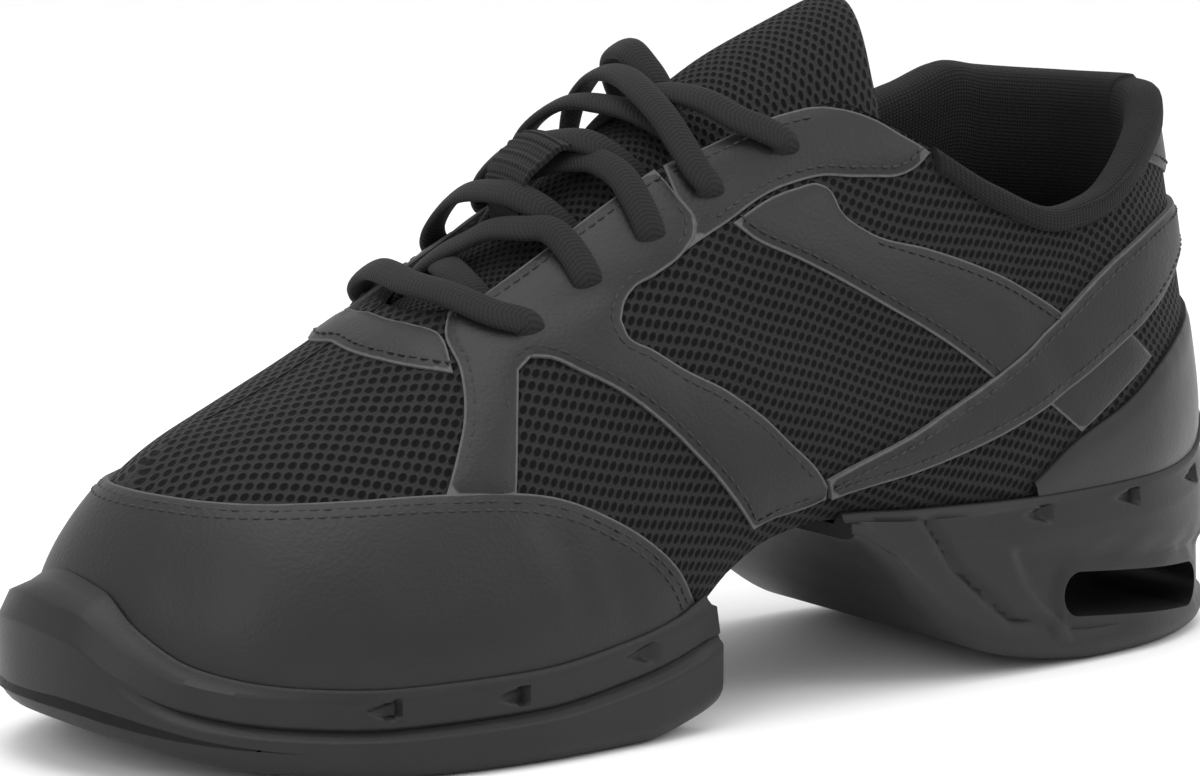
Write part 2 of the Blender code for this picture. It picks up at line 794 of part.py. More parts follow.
def groove_builder(first, last):
    """Cross grooves under a sole unit, spaced evenly between two places."""
    builder = bmesh.new()
    count = max(int((last - first) / GROOVE_PITCH), 1)
    for index in range(count + 1):
        x = first + (last - first) * index / count
        made = bmesh.ops.create_cube(builder, size=1.0)["verts"]
        size = (GROOVE_WIDTH, GROOVE_SPAN * BALL_WIDTH, 2 * GROOVE_DEPTH)
        bmesh.ops.scale(builder, verts=made, vec=size)
        bmesh.ops.translate(builder, verts=made, vec=(x, 0, 0))
    return builder


def make_insole(finish, collection):
    """The footbed, lying on the upper's margin inside the wall."""
    builder = bmesh.new()
    places = around(ALL_TURNS)
    low = WALL + CLEARANCE
    high = low + INSOLE_THICKNESS
    inset = WALL + 2 * CLEARANCE
    rows = [[underside(*place, 1.0, low) for place in places]]
    for lift in (low, high):
        rows.append([underside(*place, 0.0, lift) - outward(*place) * inset for place in places])
    rows.append([underside(*place, 1.0, high) for place in places])
    add_grid(builder, rows)
    return add_object("insole", builder, finish, collection)


def rise_at_gap(turn, side, gap):
    """The rise where the outer face is this far to the side of the ridge."""
    centre = ridge(turn).y
    low = 0.0
    high = math.pi / 2
    for _ in range(24):
        middle = (low + high) / 2
        if abs(surface(turn, side, middle).y - centre) < gap:
            high = middle
        else:
            low = middle
    return low


def tongue_point(share, across, lift):
    """A point over the tongue: share runs back from its front end, across from its outer edge, -1, to 1."""
    front = turn_of(THROAT_FRONT + TONGUE_TUCK)
    back = turn_of(THROAT_BACK + TONGUE_REACH)
    turn = front + (back - front) * share
    half_width = TONGUE_FRONT_HALF + (TONGUE_BACK_HALF - TONGUE_FRONT_HALF) * share
    side = 1 if across < 0 else -1
    reach = (half_width + side * THROAT_SHIFT) * abs(across)
    rise = rise_at_gap(turn, side, reach) if across else math.pi / 2
    point = skin(turn, side, rise, lift - WALL - TONGUE_CLEARANCE)
    rising = max(share - CROWN_START, 0.0) / (1 - CROWN_START)
    point.z += TONGUE_CROWN * rising * max(1 - CROWN_FALL * across * across, 0.0)
    return point


TONGUE_ACROSS = [step / TONGUE_STEPS for step in range(-TONGUE_STEPS, TONGUE_STEPS + 1)]


def tongue_rows(depth):
    """Rows along the tongue, the last of them running on past the throat to its free end."""
    rows = []
    for index in range(TONGUE_ROWS + 1):
        share = index / TONGUE_ROWS
        padding = TONGUE_THICKNESS * depth * (TONGUE_THIN + (1 - TONGUE_THIN) * share)
        rows.append([tongue_point(share, across, -padding) for across in TONGUE_ACROSS])
    onward = [(after - before) for before, after in zip(rows[-2], rows[-1])]
    heading = sum(onward, Vector()) / len(onward)
    heading = Vector((heading.x, 0.0, heading.z + abs(heading.x) * TONGUE_SLOPE)).normalized()
    edge = rows[-1]
    for index in range(1, TONGUE_END_ROWS + 1):
        reach = TONGUE_END * index / TONGUE_END_ROWS
        rows.append([
            point + heading * reach * (1 - TONGUE_CORNER * across * across)
            for across, point in zip(TONGUE_ACROSS, edge)
        ])
    return rows


def add_walls(builder, top, low):
    """Close two facing grids with a wall around their borders."""
    borders = []
    for grid in (top, low):
        right = [row[-1] for row in grid]
        left = [row[0] for row in grid]
        borders.append(grid[0] + right[1:] + grid[-1][-2::-1] + left[-2:0:-1])
    count = len(borders[0])
    for index in range(count):
        after = (index + 1) % count
        builder.faces.new((borders[0][index], borders[0][after], borders[1][after], borders[1][index]))


def make_tongue(finish, collection):
    builder = bmesh.new()
    add_walls(builder, add_grid(builder, tongue_rows(0.0)), add_grid(builder, tongue_rows(1.0)))
    return add_object("tongue", builder, finish, collection)


def make_lace_keeper(finish, collection):
    """The arched band of webbing on the tongue that the laces pass under."""
    builder = bmesh.new()
    grids = []
    for lift in (CLEARANCE + KEEPER_THICKNESS, CLEARANCE):
        rows = []
        for share, arch in zip(KEEPER["share"], KEEPER["arch"]):
            row = []
            for step in range(KEEPER_STEPS + 1):
                across = KEEPER_ENDS[0] + (KEEPER_ENDS[1] - KEEPER_ENDS[0]) * step / KEEPER_STEPS
                row.append(tongue_point(share, across, lift + KEEPER_ARCH * arch))
            rows.append(row)
        grids.append(add_grid(builder, rows))
    add_walls(builder, *grids)
    return add_object("lace_keeper", builder, finish, collection)


def chart_place(across, height):
    """The turn, side and rise of a point on the chart of the upper's wall."""
    turn, side = across, 1
    if across < 0:
        turn, side = -across, -1
    if across > 1:
        turn, side = 2 - across, -1
    return turn, side, height * math.pi / 2


def over_place(turn, over):
    """A place over the ridge: over is 0 on it and runs to 1 at the outer feather line, -1 at the inner."""
    return turn, (1 if over >= 0 else -1), (1 - abs(over)) * math.pi / 2


def edge_run(edge, first, last, steps):
    """Chart points along the upper's top edge or the sole's lip."""
    found = []
    for index in range(steps + 1):
        across = first + (last - first) * index / steps
        turn, side, _ = chart_place(across, 0.0)
        if edge == "top":
            rise = top_rise(turn, side)
        else:
            rise = rise_at_height(turn, side, lip_height(turn) + CLEARANCE + LIP_CLEARANCE)
        found.append((across, rise / (math.pi / 2)))
    return found


def other_side(outline):
    """The same outline on the inner side."""
    return [(2 - across, height) for across, height in outline]


def round_heel(outline):
    """The same outline on the inner side, as reached round the heel."""
    return [(-across, height) for across, height in outline]


def make_collar_lining(finish, collection):
    """The padded band inside the collar, from one end of the throat round the heel to the other."""
    builder = bmesh.new()
    grids = []
    columns = [LINING_REACH * step / LINING_COLUMNS for step in range(-LINING_COLUMNS, LINING_COLUMNS + 1)]
    tops = [top_rise(*chart_place(across, 0.0)[:2]) for across in columns]
    for padded in (0.0, 1.0):
        rows = []
        for climb, fill in zip(LINING["climb"], LINING["fill"]):
            row = []
            for across, top in zip(columns, tops):
                turn, side, _ = chart_place(across, 0.0)
                row.append(skin(turn, side, top * climb, -WALL - CLEARANCE - LINING_PADDING * fill * padded))
            rows.append(row)
        grids.append(add_grid(builder, rows))
    add_walls(builder, *grids)
    return add_object("collar_lining", builder, finish, collection)


def drawn_in(points, gap):
    """An outline with each corner moved in by half the gap that panels keep."""
    count = len(points)
    area = sum(points[index - 1].cross(points[index]) for index in range(count))
    turned = 1 if area > 0 else -1
    found = []
    for index in range(count):
        before = (points[index] - points[index - 1]).normalized()
        after = (points[(index + 1) % count] - points[index]).normalized()
        inward = Vector((-before.y - after.y, before.x + after.x)).normalized() * turned
        found.append(points[index] + inward * gap / 2)
    return found


def make_panel(name, outline, cell, finish, collection, place_at=chart_place):
    """A leather panel over the mesh: its outline is cut into cells on the chart and laid on the last."""
    builder = bmesh.new()
    size = Vector(cell)
    points = [Vector((across / size.x, height / size.y)) for across, height in outline]
    ring = [builder.verts.new((point.x, point.y, 0)) for point in drawn_in(points, PANEL_GAP / PANEL_CELL)]
    builder.faces.new(ring)
    for axis in (0, 1):
        reach = [vert.co[axis] for vert in builder.verts]
        direction = [0, 0, 0]
        direction[axis] = 1
        for step in range(math.ceil(min(reach)), math.floor(max(reach)) + 1):
            whole = builder.verts[:] + builder.edges[:] + builder.faces[:]
            place = [value * step for value in direction]
            bmesh.ops.bisect_plane(builder, geom=whole, dist=SLIVER, plane_co=place, plane_no=direction)
    bmesh.ops.triangulate(builder, faces=builder.faces[:], ngon_method="BEAUTY")
    pulled = bmesh.ops.extrude_face_region(builder, geom=builder.faces[:])["geom"]
    for item in pulled:
        if isinstance(item, bmesh.types.BMVert):
            item.co.z = OVERLAY
    for vert in builder.verts:
        turn, side, rise = place_at(vert.co.x * size.x, vert.co.y * size.y)
        vert.co = skin(turn, side, rise, PANEL_LIFT + vert.co.z)
    return add_object(name, builder, finish, collection)


def make_panels(leather, knit, collection):
    """Every overlay, the outer one first and then its twin on the inner side."""
    toe_edge = list(TOE_EDGE)
    inner_toe_edge = other_side(toe_edge[-2::-1])
    lip = edge_run("lip", 2 - TOE_START, TOE_START, TOE_LIP_STEPS)
    make_panel("toe_cap", lip + toe_edge + inner_toe_edge, TOE_CELL, leather, collection)
    make_panel("vamp_bar", VAMP_FRONT + VAMP_BACK, SIDE_CELL, leather, collection, over_place)
    counter_top = list(COUNTER_TOP) + round_heel(COUNTER_TOP[-2::-1])
    heel_lip = edge_run("lip", -COUNTER_TOP[0][0], COUNTER_TOP[0][0], HEEL_LIP_STEPS)
    make_panel("heel_counter", heel_lip[1:-1] + counter_top, HEEL_CELL, leather, collection)
    tab_end = TAB_BOTTOM[0][0]
    tab_top = edge_run("top", -tab_end, tab_end, TAB_STEPS)
    make_panel("back_tab", list(TAB_BOTTOM) + tab_top, HEEL_CELL, leather, collection)
    pairs = {
        "front_eyestay": EYESTAY_FRONT + EYESTAY_FOOT + EYESTAY_LEGS + EYESTAY_REAR,
        "rear_eyestay": EYESTAY_REAR[::-1] + REAR_BOTTOM + REAR_BACK,
        "quarter_band": QUARTER_BAND,
        "sweep_band": SWEEP_TOP + SWEEP_LOW,
        "heel_strap": HEEL_STRAP,
        "collar_binding": BINDING_BOTTOM,
    }
    top_runs = {
        "front_eyestay": (EYESTAY_TOP, EYESTAY_TOP_STEPS, SIDE_CELL, leather),
        "rear_eyestay": (REAR_TOP, REAR_TOP_STEPS, SIDE_CELL, leather),
        "collar_binding": (BINDING_TOP, BINDING_TOP_STEPS, HEEL_CELL, knit),
    }
    for name, outline in pairs.items():
        cell, finish = HEEL_CELL, leather
        for side_name, turned in (("outer", list), ("inner", other_side)):
            points = turned(outline)
            if name in top_runs:
                (first, last), steps, cell, finish = top_runs[name]
                (first, _), (last, _) = turned(((first, 0.0), (last, 0.0)))
                points = points + edge_run("top", first, last, steps)
            make_panel(name + "_" + side_name, points, cell, finish, collection)


def strand(hole, rows):
    """Points along a lace that ends at one of the holes, with the last's normal at each."""
    turn, height, crest, sink = (HOLES[name][hole] for name in HOLE_NAMES)
    knots = range(len(rows))
    ahead, over, rest, rise = (Curve(knots, [row[column] for row in rows]) for column in range(4))
    found = []
    for step in np.linspace(0, len(rows) - 1, LACE_STEPS + 1):
        across = over.at(step)
        place = over_place(turn + ahead.at(step), (1 - height) * across)
        held = sink * max(1 - (across / SINK_REACH) ** 2, 0.0)
        lift = (LACE_REST - held) * rest.at(step) + crest * rise.at(step)
        found.append((skin(*place, lift), normal(*place)))
    return found


def add_tube(builder, path):
    """A flat lace round a path: a ring of points at each step, joined and capped."""
    rings = []
    for index, (point, up) in enumerate(path):
        before = path[max(index - 1, 0)][0]
        after = path[min(index + 1, len(path) - 1)][0]
        across = (after - before).cross(up).normalized()
        upward = across.cross(after - before).normalized()
        ring = []
        for side in range(LACE_SIDES):
            angle = 2 * math.pi * side / LACE_SIDES
            offset = across * math.cos(angle) * LACE_WIDTH + upward * math.sin(angle) * LACE_THICKNESS
            ring.append(point + offset / 2)
        rings.append(ring)
    verts = add_grid(builder, rings, closed=True)
    builder.faces.new(verts[0][::-1])
    builder.faces.new(verts[-1])


def make_laces(finish, collection, cutters):
    """The bar at the front and then a crossing at each pair of holes, its two laces joined."""
    builder = bmesh.new()
    add_tube(builder, strand(0, BAR_ROWS))
    add_object("lace_bar", builder, finish, collection)
    for hole in range(1, len(HOLE_ROWS)):
        builder = bmesh.new()
        add_tube(builder, strand(hole, OVER_ROWS))
        over = add_object("lace_crossing_%d" % hole, builder, finish, collection)
        builder = bmesh.new()
        add_tube(builder, strand(hole, UNDER_ROWS))
        add_cutter("under_lace_%d" % hole, builder, over, cutters, "UNION")


def main():
    collection = start_scene()
    cutters = cutter_collection()
    mesh_cloth = material("black_mesh", (0.03, 0.03, 0.032), 0.8)
    rubber = material("black_rubber", (0.02, 0.02, 0.022), 0.5)
    lining = material("black_lining", (0.04, 0.04, 0.042), 0.9)
    leather = material("black_leather", (0.03, 0.03, 0.033), 0.45)
    webbing = material("black_webbing", (0.025, 0.025, 0.026), 0.85)
    make_upper(mesh_cloth, collection)
    heel = make_sole("heel_sole", HEEL_TURNS, False, rubber, collection)
    add_cutter("heel_window", window_builder(), heel, cutters)
    forefoot = make_sole("forefoot_sole", FOREFOOT_TURNS, True, rubber, collection)
    flat_start = HEEL_SET + TREAD["along"][1] * UPPER_LENGTH + GROOVE_PITCH
    flat_end = HEEL_SET + TREAD["along"][2] * UPPER_LENGTH
    add_cutter("heel_grooves", groove_builder(flat_start, flat_end - GROOVE_PITCH), heel, cutters)
    add_cutter("forefoot_grooves", groove_builder(BALL_START, BALL_END), forefoot, cutters)
    make_insole(lining, collection)
    make_tongue(mesh_cloth, collection)
    make_lace_keeper(webbing, collection)
    make_collar_lining(lining, collection)
    make_panels(leather, lining, collection)
    make_laces(webbing, collection, cutters)
    centre_on_origin((collection, cutters), sole_extent())


main()
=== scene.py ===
"""The looks of a left split-sole dance sneaker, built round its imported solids.

The upper is drawn on the same last as the solids: a place on it is (turn, side, rise), as in the part's
source. turn runs from the back of the heel, 0, to the tip of the toe, 1, side is +1 for the outer and -1
for the inner side, and rise is the angle up from the feather line to the ridge over the foot, a quarter
turn. Sizes are in metres and named; cloth, seams and stitches are laid out in millimetres.
"""
import math

import bmesh
import bpy
import numpy as np
from mathutils import Matrix, Vector


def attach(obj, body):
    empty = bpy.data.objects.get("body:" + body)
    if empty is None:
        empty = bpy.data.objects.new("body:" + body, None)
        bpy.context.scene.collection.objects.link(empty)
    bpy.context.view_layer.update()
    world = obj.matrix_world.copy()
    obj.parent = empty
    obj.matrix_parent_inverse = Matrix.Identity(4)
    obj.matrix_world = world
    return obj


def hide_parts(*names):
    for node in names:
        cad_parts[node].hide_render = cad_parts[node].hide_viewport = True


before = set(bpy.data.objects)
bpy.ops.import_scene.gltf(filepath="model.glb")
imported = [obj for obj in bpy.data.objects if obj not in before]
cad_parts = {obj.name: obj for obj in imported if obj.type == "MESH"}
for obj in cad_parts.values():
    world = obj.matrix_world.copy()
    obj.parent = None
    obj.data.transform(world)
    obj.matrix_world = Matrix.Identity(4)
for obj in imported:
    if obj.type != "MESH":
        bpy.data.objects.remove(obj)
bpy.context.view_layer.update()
MM = 0.001

# Where the last's own origin lies in the frame
LAST_ORIGIN = np.array((-0.13875, -0.001576, 0.0))

# The camera: a metre off, turned from the outer side toward the toe
CAMERA_TARGET = (-0.00175, -0.0206, 0.0578)
CAMERA_DISTANCE = 1.0
CAMERA_TURN = math.radians(34.0)
CAMERA_RISE = math.radians(9.1)
CAMERA_LENS = 144.2

# The last, as in the solids
UPPER_LENGTH = 0.265
HEEL_SET = 0.0035
BALL_WIDTH = 0.092
HEEL_SEAT = 0.0305
INSTEP_HEIGHT = 0.120
COLLAR_HEIGHT = 0.117
WALL = 0.0024
TOE_REACH = 0.030
HEEL_REACH = 0.030
BULGE = 0.0042
BULGE_HEIGHT = 0.016
TOE_LEAN_START = 0.6
HEEL_LEAN_END = 0.35
THROAT_FRONT = 0.1980
THROAT_BACK = 0.094
THROAT_HALF_GAP = 0.0150
THROAT_SPREAD = 0.0040
THROAT_SHIFT = 0.0040
THROAT_ROUND = 0.012
LASTING_MARGIN = 0.014

# The sole units, as in the solids
SOLE_FLARE = 0.0016
LIP_THICKNESS = 0.0020
BUMPER = 0.0055
BUMPER_START = 0.78
SIDE_BULGE = 0.8
TREAD_ROUND = 0.005
LEDGE_DROP = 0.0085
FOREFOOT_SOLE_START = 0.1565
HEEL_SOLE_END = 0.119
WINDOW_LENGTH = 0.048
WINDOW_HEIGHT = 0.0095
WINDOW_MIDDLE = 0.037
WINDOW_LEVEL = 0.0130
WINDOW_TILT = 0.10
TREAD_FLAT = 0.016
CLEARANCE = 0.0004

# The soft pieces, as in the solids
INSOLE_THICKNESS = 0.0035
TONGUE_THICKNESS = 0.0060
TONGUE_TUCK = 0.012
TONGUE_REACH = 0.018
TONGUE_FRONT_HALF = 0.021
TONGUE_BACK_HALF = 0.028
TONGUE_END = 0.0245
TONGUE_SLOPE = 0.15
TONGUE_CROWN = 0.0050
TONGUE_CLEARANCE = 0.0016
CROWN_START = 0.3
CROWN_FALL = 2.2
TONGUE_THIN = 0.45
TONGUE_CORNER = 0.20
KEEPER_THICKNESS = 0.0012
KEEPER_ARCH = 0.0092
LINING_REACH = 0.345
LACE_WIDTH = 0.0064
LACE_THICKNESS = 0.0025

# The last, a row for each section, as in the solids: place along it, how far its feather line reaches
# outside and inside, the feather line's height, the ridge's height, how far the ridge lies aside, and
# how full the section is. Reaches are shares of the ball width, heights of the heel seat and the instep
LAST_ROWS = (
    (0.000, -0.010, 0.010, 1.00, 1.375, -0.02, 0.92),
    (0.050, 0.235, 0.235, 1.00, 1.375, -0.02, 0.92),
    (0.130, 0.340, 0.335, 1.00, 1.37, -0.03, 0.92),
    (0.250, 0.385, 0.345, 1.02, 1.26, -0.04, 0.92),
    (0.360, 0.400, 0.320, 1.12, 1.125, -0.05, 0.95),
    (0.450, 0.415, 0.315, 1.20, 1.05, -0.06, 0.95),
    (0.500, 0.430, 0.330, 1.14, 0.995, -0.06, 0.93),
    (0.540, 0.445, 0.350, 0.98, 0.958, -0.06, 0.92),
    (0.580, 0.462, 0.375, 0.72, 0.905, -0.06, 0.92),
    (0.640, 0.490, 0.415, 0.50, 0.815, -0.06, 0.92),
    (0.740, 0.515, 0.480, 0.38, 0.675, -0.06, 0.90),
    (0.840, 0.490, 0.475, 0.38, 0.560, -0.06, 0.88),
    (0.930, 0.380, 0.370, 0.47, 0.485, -0.06, 0.88),
    (0.980, 0.195, 0.235, 0.54, 0.445, -0.06, 0.90),
    (1.000, -0.045, 0.045, 0.56, 0.430, -0.06, 0.90),
)
# Place along the upper, and the collar's height outside and inside as shares of the collar height
COLLAR_ROWS = (
    (0.00, 1.000, 1.000), (0.03, 0.990, 1.000), (0.07, 0.935, 1.005), (0.12, 0.860, 1.015),
    (0.15, 0.825, 1.025), (0.20, 0.805, 0.990), (0.26, 0.855, 0.960), (0.32, 0.945, 0.975),
    (0.38, 1.020, 1.020), (0.43, 1.060, 1.060), (0.60, 1.100, 1.100),
)
# Place along the upper, and how high the soles' lip stands there as a share of the heel seat. Then the
# same for how far the tread is off the floor
LIP_ROWS = (
    (0.000, 1.60), (0.012, 1.50), (0.050, 1.27), (0.100, 1.22), (0.240, 1.20), (0.360, 1.23),
    (0.440, 1.27), (0.500, 1.20), (0.560, 0.96), (0.600, 0.80), (0.660, 0.68), (0.740, 0.60),
    (0.840, 0.585), (0.910, 0.62), (0.960, 0.72), (0.982, 0.90), (0.994, 1.10), (1.000, 1.16),
)
TREAD_ROWS = (
    (-0.03, 0.10), (0.030, 0.00), (0.170, 0.00), (0.220, 0.04), (0.260, 0.10), (0.300, 0.20),
    (0.340, 0.40), (0.370, 0.62), (0.400, 0.87), (0.440, 1.10), (0.560, 0.18), (0.590, 0.08),
    (0.640, 0.00), (0.800, 0.00), (0.900, 0.05), (0.970, 0.14), (1.040, 0.34),
)

# The laces' ways, a row for each point: turn, place over the ridge from the outer side to the inner as a
# share of a quarter turn, and lift off the last. A strand starts and ends in a hole or under an edge
FRONT_BAR = (
    (0.617, 0.380, -0.0010), (0.617, 0.358, 0.0016), (0.631, 0.285, 0.0026), (0.643, 0.175, 0.0030),
    (0.653, 0.040, 0.0036), (0.648, -0.090, 0.0044), (0.642, -0.215, 0.0040), (0.630, -0.320, 0.0028),
    (0.617, -0.356, 0.0014), (0.617, -0.372, -0.0010),
)
FRONT_RETURN = (
    (0.626, 0.260, -0.0052), (0.628, 0.215, -0.0038), (0.629, 0.140, -0.0014), (0.627, 0.050, -0.0010),
    (0.620, -0.050, -0.0022), (0.612, -0.160, -0.0040), (0.606, -0.250, -0.0052),
)
SECOND_OUTER = (
    (0.580, 0.380, -0.0010), (0.580, 0.360, 0.0016), (0.581, 0.290, 0.0027), (0.584, 0.222, 0.0033),
    (0.593, 0.165, 0.0032), (0.602, 0.085, 0.0022), (0.614, 0.010, 0.0002), (0.628, -0.100, -0.0016),
    (0.636, -0.180, -0.0040), (0.642, -0.240, -0.0050),
)
SECOND_INNER = (
    (0.570, 0.290, -0.0048), (0.572, 0.245, -0.0037), (0.576, 0.200, -0.0004), (0.580, 0.150, 0.0032),
    (0.585, 0.070, 0.0054), (0.590, -0.040, 0.0056), (0.592, -0.140, 0.0050), (0.595, -0.240, 0.0040),
    (0.590, -0.315, 0.0028), (0.580, -0.356, 0.0014), (0.580, -0.374, -0.0010),
)
THIRD_OUTER = (
    (0.543, 0.404, -0.0010), (0.543, 0.384, 0.0016), (0.543, 0.330, 0.0026), (0.543, 0.262, 0.0030),
    (0.546, 0.180, 0.0030), (0.553, 0.100, 0.0022), (0.562, 0.020, 0.0016), (0.574, -0.060, -0.0004),
    (0.584, -0.140, -0.0026), (0.590, -0.220, -0.0048),
)
THIRD_INNER = (
    (0.532, 0.300, -0.0050), (0.534, 0.250, -0.0038), (0.538, 0.180, 0.0002), (0.546, 0.100, 0.0050),
    (0.556, 0.020, 0.0058), (0.563, -0.080, 0.0056), (0.567, -0.180, 0.0050), (0.563, -0.290, 0.0036),
    (0.550, -0.350, 0.0026), (0.543, -0.382, 0.0014), (0.543, -0.400, -0.0010),
)
FOURTH_OUTER = (
    (0.507, 0.404, -0.0010), (0.507, 0.386, 0.0016), (0.511, 0.335, 0.0028), (0.512, 0.260, 0.0036),
    (0.512, 0.140, 0.0056), (0.508, 0.000, 0.0072), (0.509, -0.110, 0.0080), (0.513, -0.200, 0.0070),
    (0.518, -0.255, 0.0040), (0.524, -0.288, -0.0002), (0.530, -0.310, -0.0040),
    (0.534, -0.350, -0.0052),
)
FOURTH_INNER = (
    (0.500, 0.330, -0.0052), (0.502, 0.270, -0.0037), (0.506, 0.200, -0.0012), (0.514, 0.110, 0.0014),
    (0.522, 0.010, 0.0036), (0.530, -0.090, 0.0064), (0.538, -0.190, 0.0072), (0.542, -0.280, 0.0054),
    (0.532, -0.350, 0.0036), (0.515, -0.385, 0.0024), (0.507, -0.394, 0.0012), (0.507, -0.404, -0.0010),
)
TOP_OUTER = (
    (0.460, 0.410, -0.0010), (0.460, 0.392, 0.0016), (0.470, 0.345, 0.0028), (0.480, 0.295, 0.0034),
    (0.490, 0.205, 0.0042), (0.501, 0.100, 0.0036), (0.512, 0.010, 0.0008), (0.522, -0.080, -0.0012),
    (0.530, -0.180, -0.0034), (0.535, -0.260, -0.0050),
)
TOP_INNER = (
    (0.508, 0.300, -0.0052), (0.506, 0.220, -0.0040), (0.502, 0.140, -0.0014), (0.498, 0.080, 0.0006),
    (0.494, 0.020, 0.0048), (0.490, -0.060, 0.0092), (0.487, -0.150, 0.0108), (0.482, -0.250, 0.0092),
    (0.474, -0.340, 0.0050), (0.460, -0.388, 0.0018), (0.460, -0.410, -0.0010),
)
LACE_PIECES = (
    ("front_lace", "lace_bar", (FRONT_BAR,)),
    ("crossed_laces_1", "lace_crossing_1", (FRONT_RETURN, SECOND_OUTER, SECOND_INNER)),
    ("crossed_laces_2", "lace_crossing_2", (THIRD_OUTER, THIRD_INNER)),
    ("crossed_laces_3", "lace_crossing_3", (FOURTH_OUTER, FOURTH_INNER)),
    ("crossed_laces_4", "lace_crossing_4", (TOP_OUTER, TOP_INNER)),
)
# The ribbed keeper: place along the tongue and how high it arches, and its two ends across
KEEPER_ROWS = (
    (0.400, 0.0), (0.430, 0.75), (0.470, 1.0), (0.520, 1.0), (0.555, 0.75), (0.580, 0.0),
)
KEEPER_ENDS = (-0.34, 0.10)

# Panel outlines on the chart: across runs like turn on the outer side, past 1 on the inner side and
# below 0 round the heel, and height is the rise as a share of a quarter turn
TOE_EDGE = (
    (0.557, 0.048), (0.567, 0.110), (0.583, 0.180), (0.603, 0.246), (0.633, 0.330), (0.693, 0.430),
    (0.757, 0.509), (0.820, 0.560), (0.880, 0.605), (0.940, 0.645), (1.000, 0.660),
)
TOE_START = 0.553
EYESTAY_FRONT = ((0.648, 0.815), (0.657, 0.771), (0.661, 0.661), (0.670, 0.564), (0.683, 0.491))
EYESTAY_FOOT = ((0.695, 0.431), (0.655, 0.366))
EYESTAY_LEGS = (
    (0.640, 0.506), (0.631, 0.580), (0.622, 0.586), (0.613, 0.559), (0.600, 0.498), (0.583, 0.423),
    (0.563, 0.321), (0.543, 0.208), (0.527, 0.106), (0.517, 0.050), (0.498, 0.040), (0.480, 0.036),
    (0.470, 0.040), (0.470, 0.060), (0.477, 0.088), (0.493, 0.143), (0.507, 0.200), (0.522, 0.262),
    (0.542, 0.348), (0.560, 0.436), (0.570, 0.487), (0.571, 0.520), (0.567, 0.541), (0.560, 0.551),
    (0.547, 0.540),
)
EYESTAY_REAR = ((0.530, 0.533), (0.523, 0.545), (0.520, 0.570), (0.523, 0.640))
EYESTAY_TOP = (0.527, 0.640)
VAMP_FRONT = (
    (0.665, 0.330), (0.683, 0.255), (0.697, 0.182), (0.711, 0.070), (0.713, 0.000), (0.709, -0.080),
    (0.697, -0.160), (0.683, -0.235), (0.665, -0.310),
)
VAMP_BACK = (
    (0.660, -0.215), (0.668, -0.130), (0.675, -0.060), (0.677, 0.000), (0.675, 0.070), (0.668, 0.140),
    (0.660, 0.215),
)
REAR_BOTTOM = (
    (0.507, 0.532), (0.483, 0.537), (0.460, 0.531), (0.443, 0.523), (0.428, 0.505), (0.413, 0.489),
    (0.400, 0.475), (0.387, 0.474), (0.377, 0.484),
)
REAR_BACK = ((0.380, 0.495), (0.393, 0.539), (0.405, 0.585), (0.420, 0.630))
REAR_TOP = (0.440, 0.522)
QUARTER_BAND = (
    (0.500, 0.525), (0.490, 0.471), (0.470, 0.405), (0.447, 0.348), (0.430, 0.312), (0.397, 0.248),
    (0.352, 0.162), (0.338, 0.171), (0.291, 0.207), (0.322, 0.256), (0.353, 0.300), (0.390, 0.355),
    (0.425, 0.410), (0.437, 0.447), (0.443, 0.500), (0.449, 0.515), (0.460, 0.520), (0.483, 0.527),
)
SWEEP_TOP = (
    (0.470, 0.068), (0.440, 0.096), (0.403, 0.131), (0.363, 0.166), (0.347, 0.179), (0.300, 0.217),
    (0.263, 0.245), (0.203, 0.278), (0.093, 0.301), (0.000, 0.304),
)
SWEEP_LOW = (
    (0.000, 0.262), (0.060, 0.257), (0.127, 0.237), (0.197, 0.200), (0.240, 0.174), (0.287, 0.146),
    (0.333, 0.118), (0.387, 0.086), (0.423, 0.065), (0.467, 0.040),
)
HEEL_STRAP = ((0.323, 0.138), (0.242, 0.188), (0.210, 0.150), (0.255, 0.118), (0.291, 0.090))
COUNTER_TOP = (
    (0.330, 0.046), (0.303, 0.077), (0.247, 0.110), (0.200, 0.142), (0.117, 0.178), (0.060, 0.192),
    (0.000, 0.196),
)
TAB_BOTTOM = ((0.188, 0.362), (0.090, 0.334), (0.000, 0.326), (-0.090, 0.334), (-0.188, 0.362))
BINDING_BOTTOM = (
    (0.372, 0.462), (0.357, 0.420), (0.327, 0.354), (0.303, 0.321), (0.277, 0.304), (0.253, 0.303),
    (0.227, 0.316), (0.193, 0.344), (0.184, 0.362),
)
BINDING_TOP = (0.186, 0.372)

# Leather: how far its faces stand off the cloth, its thinned edge, and the rows of stitches beside it
LEATHER_EDGE = 0.40 * MM
LEATHER_FULL = 1.05 * MM
SKIVE = 1.5 * MM
LEATHER_BACK = -0.8 * MM
STITCH_INSET = 1.9 * MM
SECOND_INSET = 3.7 * MM
STITCH_PITCH = 2.5 * MM
STITCH_LENGTH = 1.9 * MM
STITCH_WIDTH = 0.55 * MM
STITCH_DENT = 0.22 * MM
STITCH_DENT_WIDTH = 0.45 * MM
STITCH_KEPT = 0.86
STITCH_JUMP = 4.0 * MM
TOP_INSET = 2.4 * MM
OUTLINE_STEP = 1.1 * MM
PANEL_CELL = 2.4 * MM
RING_STEPS = (0.35 * MM, 0.45 * MM, 0.5 * MM, 0.5 * MM, 0.5 * MM, 0.7 * MM)
CORNER = math.radians(40)
UNDER_LIP = 1.5 * MM
BINDING_PAD = 2.2 * MM
BINDING_RUN = 6.0 * MM

# How far from a place its slopes are felt out, on the last and on the chart
PROBE = 0.002
PANEL_PROBE = 0.004
STITCH_PROBE = 0.003

